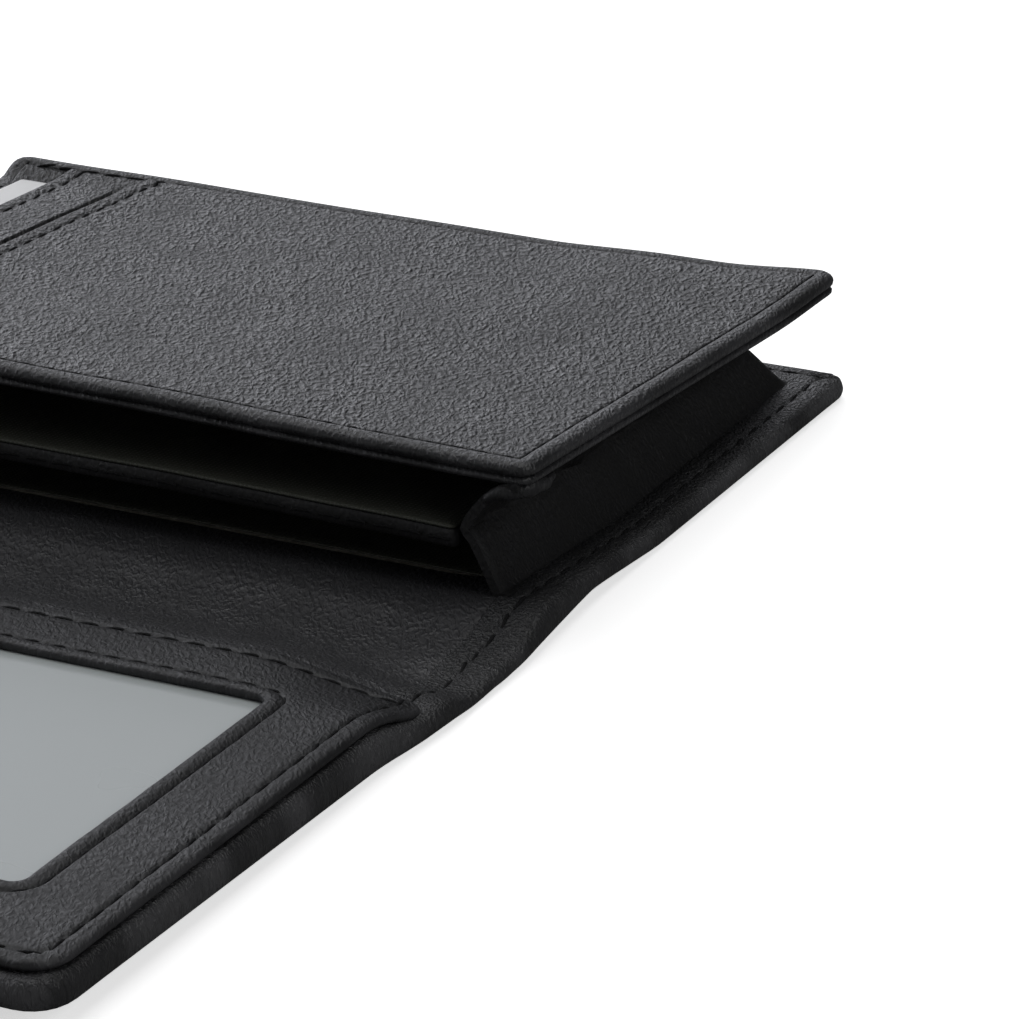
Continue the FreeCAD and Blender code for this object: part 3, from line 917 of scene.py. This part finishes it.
# %% Panel placing
PANEL_MOUTH = FOLD + 1.3
PANEL_GAP = 0.6          # the panel stands in from the cover's edge
PANEL_HALF = HALF_WIDTH - PANEL_GAP
MOUTH_HEIGHT, FAR_HEIGHT = 16.6, 11.2
panel_run = HALF_LENGTH - PANEL_GAP - PANEL_MOUTH
PANEL_ANGLE = math.atan((MOUTH_HEIGHT - FAR_HEIGHT) / panel_run)
PANEL_DEPTH = panel_run / math.cos(PANEL_ANGLE)
CURL, CURL_REACH = 1.0, 15.0
MOUTH_BOW = 0.85         # the mouth edge stands up from the middle to the left
FAR_SAG = 0.65           # and the far edge sags, except by the curled corner
STRIP_START, FACE_START = -PANEL_HALF + 8.4, -PANEL_HALF + 18.8


def near_mouth(y):
    """1 at the panel's mouth, fading inwards."""
    return smooth(34.0, 2.0, y)


def near_far_edge(y):
    """1 at the panel's far edge, fading inwards."""
    return smooth(PANEL_DEPTH - 40, PANEL_DEPTH - 4, y)


def panel_lift(x, y):
    """How far use has moved the panel up: it curls at its far right corner,
    bows at the mouth and sags at the far edge."""
    corner = np.hypot(PANEL_HALF - x, PANEL_DEPTH - y)
    bow = smooth(46.0, -8.0, x) * near_mouth(y)
    far = smooth(33.0, 17.0, x) * near_far_edge(y)
    return CURL * smooth(CURL_REACH, 1.0, corner) ** 1.3 + MOUTH_BOW * bow - FAR_SAG * far


def tipped(x, y, z):
    """From the panel's flat drawing to its tipped place above the gusset."""
    return np.stack([x, PANEL_MOUTH + y * math.cos(PANEL_ANGLE) + z * math.sin(PANEL_ANGLE),
                     MOUTH_HEIGHT - y * math.sin(PANEL_ANGLE) + z * math.cos(PANEL_ANGLE)], -1)


def tip_panel(x, y, z):
    """The panel in its place, lifted and curled by use."""
    z = z + panel_lift(x, y)
    x = x + 0.6 * smooth(14.0, 1.0, np.hypot(PANEL_HALF - x, PANEL_DEPTH - y))
    wave = 0.10 * ripple(x, y, 38.0, 41) + 0.04 * ripple(x, y, 11.0, 42)
    return tipped(x, y, z + wave * smooth(0.9, 2.0, z))


def panel_underside(y):
    """Height of the panel's underside at a place in the wallet."""
    return MOUTH_HEIGHT - (y - PANEL_MOUTH) * math.tan(PANEL_ANGLE)


panel_rect = (-PANEL_HALF, PANEL_HALF, 0.0, PANEL_DEPTH)
PANEL_RADII = (2.0, 2.0, 2.5, 2.5)
ROLL_TOP = 2.42
CARD_FREE = 0.55         # top of the left edge beside the card's way out
CARD_WAY = (8.8, 65.6)   # where that way lies, in from the mouth
print("panel", round(2 * PANEL_HALF, 1), "by", round(PANEL_DEPTH, 1),
      "tipped", round(math.degrees(PANEL_ANGLE), 2), "degrees")


# %% Rolled edge of the panel
def roll_share(x, y):
    """1 where the rolled edge is full height, less beside the card's way out."""
    on_left = smooth(-PANEL_HALF + 5.5, -PANEL_HALF + 3.0, x)
    in_way = smooth(CARD_WAY[0] - 3.5, CARD_WAY[0], y) * smooth(CARD_WAY[1] + 3.5, CARD_WAY[1], y)
    return 1 - on_left * in_way


def place_roll(line, level):
    """A line of the rolled edge, pressed down beside the card's way out."""
    x, y = line.T
    share = roll_share(x, y)
    full = level * share + np.minimum(level, CARD_FREE * level / ROLL_TOP) * (1 - share)
    return tip_panel(x, y, full)


edge_profile = [(2.9, 0.64), (2.9, 0.03), (1.4, 0.0), (0.75, 0.03), (0.38, 0.12),
                (0.16, 0.34), (0.14, 0.62), (0.3, 0.84), (0.52, 0.95), (0.5, 1.02),
                (0.26, 1.1), (0.07, 1.32), (0.0, 1.6), (0.05, 1.88), (0.24, 2.12),
                (0.55, 2.31), (0.95, 2.41), (1.4, 2.42), (1.75, 2.38), (2.0, 2.29),
                (2.2, 2.18), (2.34, 2.0), (2.4, 1.2), (2.45, 0.7)]
loops = [place_roll(outline(panel_rect, PANEL_RADII, inset, 84, 60), level)
         for inset, level in edge_profile]
rim = [rim_value(inset) for inset, _ in edge_profile]
panel_edge = loft("panel_rolled_edge", loops, rim, closed=True)
finish_piece(panel_edge, edge_leather, "soft_leather", "panel_base_leather")
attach(panel_edge, "pocket_panel")


# %% Base, card slot strip and face of the panel
SHEET_INSET = 2.12       # the sheets end this far in from the panel's edge
SLOT_SEAM = 1.8          # in from the left end of the strip and of the face
SLOT_STEP = 0.38         # the strip steps down this much before the face
STRIP_RISE, BASE_RISE = 0.38, 1.35       # up to the rolled edge
CARD_DIP = 0.48          # the base dips this much under the card's far corner


def panel_sheet(name, x0, x1, low, top, nx, shape, slot, *nodes, left_seam=None, thick_left=0.0,
                lift_left=0.0):
    """A sheet inside the rolled edge. left_seam sinks a seam beside its left end."""
    rect = (x0, x1, SHEET_INSET, PANEL_DEPTH - SHEET_INSET)

    def place(x, y, inset, level):
        z = shape(x, y, level)
        from_edge = np.minimum(y, PANEL_DEPTH - y)
        z = z + lift_left * smooth(6.5, 0.0, x - x0) * smooth(2.4, 8.0, from_edge)
        if left_seam is not None and level > low + 0.1:
            z = z - 0.13 * np.exp(-((x - x0 - left_seam) / 0.28) ** 2)
            z = z + thick_left * smooth(left_seam, 0.3, x - x0)
        return tip_panel(x, y, z)

    profile = ([(4.6, low), (1.0, low)] + rolled(0.28, low, top - 0.03, 6)
               + [(0.8, top), (1.3, top), (1.55, top), (1.8, top), (2.05, top), (2.4, top),
                  (3.2, top), (4.6, top)])
    piece = leather_sheet(name, rect, (0.2,) * 4, profile, place, nx, 50)
    finish_piece(piece, pebbled_leather, slot, *nodes)
    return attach(piece, "pocket_panel")


def base_shape(x, y, level):
    """The base leather rises to meet the rolled edge around the card, and
    dips under the card's far corner."""
    from_edge = np.minimum(y, PANEL_DEPTH - y)
    rise = (BASE_RISE * smooth(6.0, 2.3, from_edge)
            * smooth(STRIP_START + 4, STRIP_START - 1, x))
    dip = (CARD_DIP * smooth(17.0, 31.0, x) * smooth(46.0, 41.0, x) * near_far_edge(y)
           * smooth(2.6, 5.2, from_edge))
    return level + np.where(level > 0.3, rise - dip, 0.0)


def strip_shape(x, y, level):
    """The strip is drawn down over the card and up to the rolled edge, and
    steps down before the face, which leaves a dark line."""
    from_edge = np.minimum(y, PANEL_DEPTH - y)
    step_down = (smooth(FACE_START - 2.35, FACE_START - 2.1, x) * smooth(1.6, 1.8, level)
                 * smooth(2.8, 9.0, from_edge))
    return (level + STRIP_RISE * smooth(6.0, 2.3, from_edge) + 0.05 * ripple(x, y, 15.0, 51)
            - SLOT_STEP * step_down)


def face_shape(x, y, level):
    """The face leather is flat, with a soft unevenness."""
    return level + 0.04 * ripple(x, y, 21.0, 52)


panel_sheet("panel_base", -PANEL_HALF + 2.2, PANEL_HALF - 2.6, 0.06, 0.62, 60, base_shape,
            "soft_leather")
panel_sheet("card_slot_strip_leather", STRIP_START, FACE_START + 9.0, 1.45, 1.86, 90,
            strip_shape, "soft_leather", "card_slot_strip", left_seam=SLOT_SEAM, thick_left=0.12)
panel_sheet("panel_face", FACE_START, PANEL_HALF - SHEET_INSET, 1.98, 2.40, 60, face_shape,
            "grain_leather", "panel_face_leather", left_seam=SLOT_SEAM, thick_left=0.12,
            lift_left=0.22)

# %% Blank card in the first slot
CARD_LONG, CARD_SHORT, CARD_THICK = 85.6, 54.0, 0.35
SLOT_FLOOR, SLOT_GAP = 0.6, 0.9
CARD_BOW = 0.85 * MOUTH_BOW   # the card is bowed a little less than the panel
CARD_FAR = PANEL_DEPTH - 5.6
card_left = STRIP_START - 4.6
card_low = SLOT_FLOOR + (SLOT_GAP - CARD_THICK) / 2
card_top = card_low + CARD_THICK


def lay_card(x, y, inset, level):
    """The card's bend is the same all along its way out, so it slides freely."""
    bend = CARD_BOW * near_mouth(y) - FAR_SAG * near_far_edge(y)
    return tipped(x, y, level + bend)


card = leather_sheet("blank_card",
                     (card_left, card_left + CARD_LONG, CARD_FAR - CARD_SHORT, CARD_FAR),
                     (0.4,) * 4, thin_edge(4.0, card_low, card_top, 0.06, between=(0.4,)),
                     lay_card, 12, 12)
finish_piece(card, blank_card, "card", "slot_card")
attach(card, "card")

# %% [markdown]
# ## The gusset
# One strip of soft leather runs round three sides of the pocket, folded in
# half so that its crease points inwards, and mitred at the far corners. Its
# foot is held in the cover and its head under the panel. The section is a
# smooth line given as distance in from the cover's edge and share of the
# height.

# %% Gusset
GUSSET_THICK = 0.62
CREASE_SHARE = 0.55      # height of the crease, as a share of the gusset's
gusset_line = [(3.4, 0.0), (4.4, 0.005), (4.85, 0.025), (5.3, 0.085), (5.9, 0.185),
               (6.6, 0.31), (7.4, 0.44), (8.0, 0.52), (8.22, 0.55), (8.05, 0.58),
               (7.5, 0.65), (6.6, 0.75), (5.5, 0.855), (4.5, 0.93), (3.7, 0.967),
               (2.9, 0.985), (2.0, 0.992)]
GUSSET_FOOT = 1.98       # height of the foot on the cover


def gusset_height(x, y, share):
    """Height on the gusset, as a share of the way from its foot to its head."""
    foot = lie(y) + GUSSET_FOOT
    head = panel_underside(y) + panel_lift(x, y - PANEL_MOUTH) - 0.06
    return foot + share * (head - foot)


def gusset_path(inset, count=(46, 60)):
    """The three-sided path at a distance in from the cover edge, from the
    mouth on the left round the far side to the mouth on the right, with
    the way out of the pocket at each point."""
    corner = 0.9
    x, far = HALF_WIDTH - inset, HALF_LENGTH - inset
    side = PANEL_MOUTH + 0.25 + (far - corner - PANEL_MOUTH - 0.25) * stations(count[0]) ** 1.25
    across = -x + corner + (2 * x - 2 * corner) * stations(count[1])
    turn_by = np.radians(np.linspace(0, 90, 5))[1:-1]

    def corner_stops(sign, angles):
        """Around the far corner, on the right for sign 1, on the left for -1."""
        return [((sign * (x - corner * (1 - math.cos(a))), far - corner * (1 - math.sin(a))),
                 (sign * math.cos(a), math.sin(a))) for a in angles]

    stops = ([((-x, y), (-1, 0)) for y in side] + corner_stops(-1, turn_by)
             + [((along, far), (0, 1)) for along in across] + corner_stops(1, turn_by[::-1])
             + [((x, y), (1, 0)) for y in side[::-1]])
    points, outward = zip(*stops)
    return np.array(points, float), np.array(outward, float)


def gusset_surface(offset):
    """Rows of the gusset, pushed to one face or the other of the leather."""
    rows = []
    count = len(gusset_line)
    for k, (inset, share) in enumerate(gusset_line):
        points, outward = gusset_path(inset)
        x, y = points.T
        z = gusset_height(x, y, share)
        before, after = gusset_line[max(k - 1, 0)], gusset_line[min(k + 1, count - 1)]
        tall = panel_underside(y) - lie(y) - GUSSET_FOOT
        run, rise = before[0] - after[0], (after[1] - before[1]) * tall
        length = np.hypot(run, rise)
        away_out, away_up = rise / length, -run / length
        free = math.sin(math.pi * share) ** 0.7 if 0 < share < 1 else 0.0
        from_mouth = y - PANEL_MOUTH
        hem = 0.35 * smooth(2.1, 1.6, from_mouth)
        along = np.where(abs(outward[:, 1]) > 0.7, x, y)
        upper = 1.0 if share > CREASE_SHARE else 0.55
        fold_wave = 0.36 * upper * ripple(along, 9.0 * share + 0.6 * along, 6.5, 61) * free
        gather = 0.35 * ripple(along, 14.0 * share, 3.6, 62) * free * smooth(11, 2, from_mouth)
        gather = gather * (1.0 if share > 0.45 else 0.35)
        half = (GUSSET_THICK / 2 + hem / 2) * offset + fold_wave + gather
        out_x, out_y = outward.T
        rows.append(np.stack([x + out_x * away_out * half, y + out_y * away_out * half,
                              z + away_up * half], -1))
    return rows


outer_rows, inner_rows = gusset_surface(1.0), gusset_surface(-1.0)
section = np.array(outer_rows + inner_rows[::-1])
rings = np.swapaxes(section, 0, 1)
ring_count, ring_size = rings.shape[:2]
gusset_faces = band_faces(ring_count, ring_size)
for start in (0, (ring_count - 1) * ring_size):
    for i in range(len(gusset_line) - 1):
        a, b = start + i, start + i + 1
        c, d = start + ring_size - 2 - i, start + ring_size - 1 - i
        gusset_faces.append((a, b, c, d))
# The gusset's end edges get a rim value of 0.8, so they carry the painted edge highlight.
end_rim = np.zeros((ring_count, ring_size))
end_rim[:2] = end_rim[-2:] = 0.8
gusset = finish_mesh("pocket_gusset", rings.reshape(-1, 3), gusset_faces, end_rim.reshape(-1))
finish_piece(gusset, gusset_leather, "soft_leather",
             "gusset_right", "gusset_left", "gusset_far")
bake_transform(gusset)


# %% Curled corners of the gusset's hem
def tube(name, path, radii, turns=14):
    """A closed soft roll along a path of millimetre points."""
    path, rings = np.asarray(path, float), []
    tangents = np.gradient(path, axis=0)
    for point, tangent, radius in zip(path, tangents, radii):
        along = Vector(tangent).normalized()
        side = along.cross(Vector((0, 0, 1))).normalized()
        over = side.cross(along)
        angle = 2 * math.pi * stations(turns)[:-1]
        rings.append([point + radius * (math.cos(a) * np.array(side) + math.sin(a) * np.array(over))
                      for a in angle])
    points = np.array(rings).reshape(-1, 3)
    faces = band_faces(len(path), turns)
    faces += [tuple(range(turns)), tuple(range(len(points) - turns, len(points)))]
    # Every point of the roll gets a rim value of 0.35, so the whole roll carries part of the
    # painted edge highlight.
    return finish_mesh(name, points, faces, np.full(len(points), 0.35))


CURL_STEPS = 22
for label, side in (("right", 1), ("left", -1)):
    turn = np.linspace(0, 1, CURL_STEPS)
    x = PANEL_HALF - 0.9 - 4.6 * smooth(0.35, 1.0, turn)
    y = PANEL_MOUTH + 6.5 - 6.1 * smooth(0.0, 0.75, turn) + 0.5 * smooth(0.8, 1.0, turn)
    z = (panel_underside(y) + panel_lift(side * x, y - PANEL_MOUTH) - 0.75
         - 1.5 * smooth(0.55, 1.0, turn) + 0.12 * np.sin(turn * 19.0))
    girth = 0.35 + 0.62 * np.sin(math.pi * smooth(-0.12, 1.1, turn)) + 0.06 * np.sin(turn * 31.0)
    curl = tube("gusset_corner_curl_" + label, np.stack([side * x, y, z], 1), girth)
    finish_piece(curl, frame_leather, "soft_leather")
    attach(curl, "pocket_panel")

# %% [markdown]
# ## The divider
# A sheet of leather lined with cloth rides on the gusset's crease. Its mouth
# edge is turned down and stitched, so it shows a rounded nose with a seam.

# %% Divider
DIVIDER_HALF = 43.7
DIVIDER_MOUTH = PANEL_MOUTH + 0.4
DIVIDER_FAR = 71.6
DIVIDER_LOW, DIVIDER_TOP = -0.5, 0.12    # about the crease
CLOTH_LOW, CLOTH_TOP = 0.14, 0.5
NOSE, NOSE_SHARE = 2.3, 0.8   # the mouth edge hangs this share of the way to NOSE
NOSE_SEAM = 1.0          # the seam lies this far below the crease


def crease_height(y):
    """Height of the divider on the gusset's crease."""
    return gusset_height(PANEL_HALF, y, CREASE_SHARE) - 0.55


def place_divider(x, y, inset, level):
    """Level is height about the crease; the mouth edge hangs lower."""
    near = smooth(DIVIDER_MOUTH + 4.0, DIVIDER_MOUTH + 1.2, y)
    bow = 0.55 * (1 - (x / DIVIDER_HALF) ** 2) * smooth(60, 12, y)
    drop = 1 + near * (NOSE / -DIVIDER_LOW - 1) * NOSE_SHARE
    low = np.where(level < 0, level * drop, level)
    wave = 0.10 * ripple(x, y, 30.0, 71) + 0.05 * ripple(x, y, 9.0, 72)
    return np.stack([x, y, crease_height(y) + low + bow + wave], -1)


divider_rect = (-DIVIDER_HALF, DIVIDER_HALF, DIVIDER_MOUTH, DIVIDER_FAR)
divider = leather_sheet("divider_leather_sheet", divider_rect, (1.0,) * 4,
                        [(6.0, DIVIDER_LOW), (2.0, DIVIDER_LOW)]
                        + rolled(0.45, DIVIDER_LOW, DIVIDER_TOP, 8)
                        + [(inset, DIVIDER_TOP) for inset in (1.0, 2.0, 6.0)],
                        place_divider, 60, 50)
# The divider uses the gusset's leather, so it carries the same painted shade.
finish_piece(divider, gusset_leather, "soft_leather", "divider_leather")
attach(divider, "divider")
lining = leather_sheet("divider_cloth", (-DIVIDER_HALF + 0.3, DIVIDER_HALF - 0.3,
                                         DIVIDER_MOUTH + 0.1, DIVIDER_FAR - 0.3), (0.8,) * 4,
                       thin_edge(6.0, CLOTH_LOW, CLOTH_TOP, 0.2, steps=6, between=(2.0,)),
                       place_divider, 60, 50)
finish_piece(lining, lining_cloth, "lining", "divider_lining")
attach(lining, "divider")

# %% [markdown]
# ## Stitches
# Every seam is a row of short slanted stitches whose ends dive into the
# leather. They repeat along a path, so Geometry Nodes lay them: points at the
# stitch pitch, one small arched thread on each, turned along the seam. The
# result is made a plain mesh and the modifier goes.


# %% Stitch tree
def stitch_tree():
    """Rows of stitches along the edges of a path mesh."""
    tree, come, go = group_of(
        "stitch_row", "GeometryNodeTree",
        [("Geometry", "NodeSocketGeometry", None), ("Pitch", FLOAT, 0.003),
         ("Stitch Length", FLOAT, 0.002), ("Thread Width", FLOAT, 0.0005),
         ("Slant", FLOAT, 0.2), ("Arch", FLOAT, 0.0003), ("Seed", "NodeSocketInt", 7),
         ("Thread", "NodeSocketMaterial", None)],
        [("Geometry", "NodeSocketGeometry")])
    given = come.outputs

    def laid(kind, values, output=0, **settings):
        return add_node(tree, kind, values, **settings).outputs[output]

    def times(value, factor):
        return math_node(tree, "MULTIPLY", value, factor)

    def point(x, z):
        return laid("ShaderNodeCombineXYZ", {"X": x, "Z": z})

    path = laid("GeometryNodeMeshToCurve", {"Mesh": given["Geometry"]})
    spots = add_node(tree, "GeometryNodeCurveToPoints",
                     {"Curve": path, "Length": given["Pitch"]}, mode="LENGTH").outputs
    turn_flat = laid("FunctionNodeAlignRotationToVector", {"Vector": spots["Tangent"]},
                     axis="X", pivot_axis="Z")
    turn_up = laid("FunctionNodeAlignRotationToVector",
                   {"Rotation": turn_flat, "Vector": spots["Tangent"]},
                   axis="X", pivot_axis="Y")
    wobble = laid("FunctionNodeRandomValue", {2: -0.12, 3: 0.12, "Seed": given["Seed"]}, 1)
    lean = point(0.0, math_node(tree, "ADD", wobble, given["Slant"]))
    turned = laid("FunctionNodeRotateRotation",
                  {"Rotation": turn_up,
                   "Rotate By": laid("FunctionNodeEulerToRotation", {0: lean})},
                  rotation_space="LOCAL")

    back, front = times(given["Stitch Length"], -0.5), times(given["Stitch Length"], 0.5)
    dive = times(given["Arch"], -1.0)
    arch = laid("GeometryNodeCurvePrimitiveBezierSegment",
                {"Resolution": 5, "Start": point(back, dive), "End": point(front, dive),
                 "Start Handle": point(times(back, 0.55), given["Arch"]),
                 "End Handle": point(times(front, 0.55), given["Arch"])})
    ring = laid("GeometryNodeCurvePrimitiveCircle",
                {"Resolution": 6, "Radius": times(given["Thread Width"], 0.5)})
    thread = laid("GeometryNodeCurveToMesh",
                  {"Curve": arch, "Profile Curve": ring, "Fill Caps": True})
    placed = laid("GeometryNodeInstanceOnPoints",
                  {"Points": spots["Points"], "Instance": thread, "Rotation": turned})
    real = laid("GeometryNodeRealizeInstances", {"Geometry": placed})
    coloured = laid("GeometryNodeSetMaterial",
                    {"Geometry": real, "Material": given["Thread"]})
    tree.links.new(coloured, go.inputs["Geometry"])
    return tree


stitches = stitch_tree()
SOCKETS = {item.name: item.identifier for item in stitches.interface.items_tree
           if item.in_out == "INPUT"}
print("stitch tree with", len(stitches.nodes), "nodes")


# %% Sewing
def sew(name, paths, pitch, length, width=0.44, slant=0.16, seed=7, arch=0.14):
    """Stitches along open paths of millimetre points, as one plain mesh."""
    path_mesh = bpy.data.meshes.new(name + "_path")
    points, pairs = [], []
    for path in paths:
        first = len(points)
        points += (np.asarray(path) * MM).tolist()
        pairs += [(first + i, first + i + 1) for i in range(len(path) - 1)]
    path_mesh.from_pydata(points, pairs, [])
    carrier = new_object(name + "_path", path_mesh)
    nodes = carrier.modifiers.new("stitches", "NODES")
    nodes.node_group = stitches
    for label, value in (("Pitch", pitch * MM), ("Stitch Length", length * MM),
                         ("Thread Width", width * MM), ("Slant", slant),
                         ("Arch", arch * MM), ("Seed", seed), ("Thread", black_thread)):
        nodes[SOCKETS[label]] = value
    evaluated = carrier.evaluated_get(bpy.context.evaluated_depsgraph_get())
    mesh = bpy.data.meshes.new_from_object(evaluated)
    bpy.data.objects.remove(carrier)
    mesh.name = name
    mesh.shade_smooth()
    piece = new_object(name, mesh)
    print(name, len(mesh.polygons), "faces")
    return piece


# %% Seam of the cover and spine
def seam_line(rect, radii, inset):
    """A dense closed line along a seam, as x and y."""
    line = outline(rect, radii, inset, 120, 160)
    return np.concatenate([line, line[:1]])


def cut_at_spine(line, side):
    """The part of a closed line on one side of y = 0, in order."""
    keep = line[:, 1] * side > 0.8
    start = next(i for i in range(len(line)) if keep[i] and not keep[i - 1])
    order = [(start + i) % len(line) for i in range(len(line))]
    return np.array([line[i] for i in order if keep[i]])


THREAD_SINK = 0.04       # the thread lies this deep in its seam
COVER_STITCH, ID_STITCH = (3.25, 2.5), (3.1, 2.35)   # pitch and length
PANEL_STITCH, DIVIDER_STITCH = (3.0, 2.2), (3.1, 2.3)
seam = outline(cover_rect, COVER_RADII, SEAM_INSET, 120, 260)
far_seam, near_seam = cut_at_spine(seam, 1), cut_at_spine(seam, -1)


def seam_top(x, y):
    """Where the cover seam's thread lies: on the turned edge, then the ID panel."""
    on_band = cover_edge_top(y) * SEAM_LEVEL
    on_panel = smooth(ID_MOUTH + 0.7, ID_MOUTH - 0.5, y)
    return ground(x, y) + on_band + (ID_TOP - 0.12 - on_band) * on_panel - THREAD_SINK


for name, line, side, nodes in (
        ("cover_stitches_pocket_side", far_seam, 1, ("back_cover_thread", "spine_thread")),
        ("cover_stitches_window_side", near_seam, -1, ("front_cover_thread",))):
    path = np.stack([*line.T, seam_top(*line.T)], -1)
    piece = sew(name, [path], *COVER_STITCH, seed=3 + side)
    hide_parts(*nodes)
    bend_at_fold(piece, side)

# %% Seams of the ID panel
window_seam = seam_line(window_rect, WINDOW_RADII, -WINDOW_SEAM)
window_path = place_id(*window_seam.T, ID_TOP - 0.1 - THREAD_SINK)
piece = sew("window_stitches", [window_path], *ID_STITCH, seed=11)
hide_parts("id_window_thread")
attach(piece, "front_cover")

mouth_half = HALF_WIDTH - SEAM_INSET - 1.5
mouth_x = np.linspace(-mouth_half, mouth_half, 80)
mouth_y = np.full_like(mouth_x, ID_MOUTH - id_seam)
mouth_path = place_id(mouth_x, mouth_y, ID_TOP - 0.14 - THREAD_SINK)
piece = sew("id_mouth_stitches", [mouth_path], *ID_STITCH, seed=12)
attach(piece, "front_cover")

# %% Seams of the pocket panel
PANEL_SEAM, PANEL_THREAD = 2.2, 2.2      # in from the edge, and height
SLOT_SEAM_END = 3.4
ring_line = seam_line(panel_rect, PANEL_RADII, PANEL_SEAM)
ring_path = place_roll(ring_line, PANEL_THREAD - THREAD_SINK)
piece = sew("panel_stitches", [ring_path], *PANEL_STITCH, width=0.36, seed=21, arch=0.08)
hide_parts("panel_thread")
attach(piece, "pocket_panel")

STRIP_THREAD, FACE_THREAD = 1.75, 2.46   # height of the thread on each leather
rows = []
for start, level, shape in ((STRIP_START, STRIP_THREAD, strip_shape),
                            (FACE_START, FACE_THREAD, face_shape)):
    y = np.linspace(SLOT_SEAM_END, PANEL_DEPTH - SLOT_SEAM_END, 60)
    across = np.full_like(y, start + SLOT_SEAM)
    rows.append(tip_panel(across, y, shape(across, y, level) - THREAD_SINK))
piece = sew("slot_stitches", rows, *PANEL_STITCH, width=0.38, seed=22)
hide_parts("slot_threads")
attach(piece, "pocket_panel")

# %% Seam on the divider's nose
x = np.linspace(-DIVIDER_HALF + 2, DIVIDER_HALF - 2, 70)
y = np.full_like(x, DIVIDER_MOUTH + 0.02)
nose = place_divider(x, y, 0, 0.0)
nose[:, 2] -= NOSE_SEAM
piece = sew("divider_stitches", [nose], *DIVIDER_STITCH, width=0.36, slant=0.0, seed=31,
            arch=0.05)
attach(piece, "divider")

# %% [markdown]
# ## The size of the visible wallet
# The box round the visible wallet is measured and printed, and set beside
# the imported box. The visible wallet has to stay in the imported box, give
# or take what soft leather may stand proud.

# %% Both boxes
low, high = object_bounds()
{"cad": [list(cad_low), list(cad_high)], "visual": [list(low), list(high)]}
print("visible box", [round(v * 1000, 1) for v in (*low, *high)])
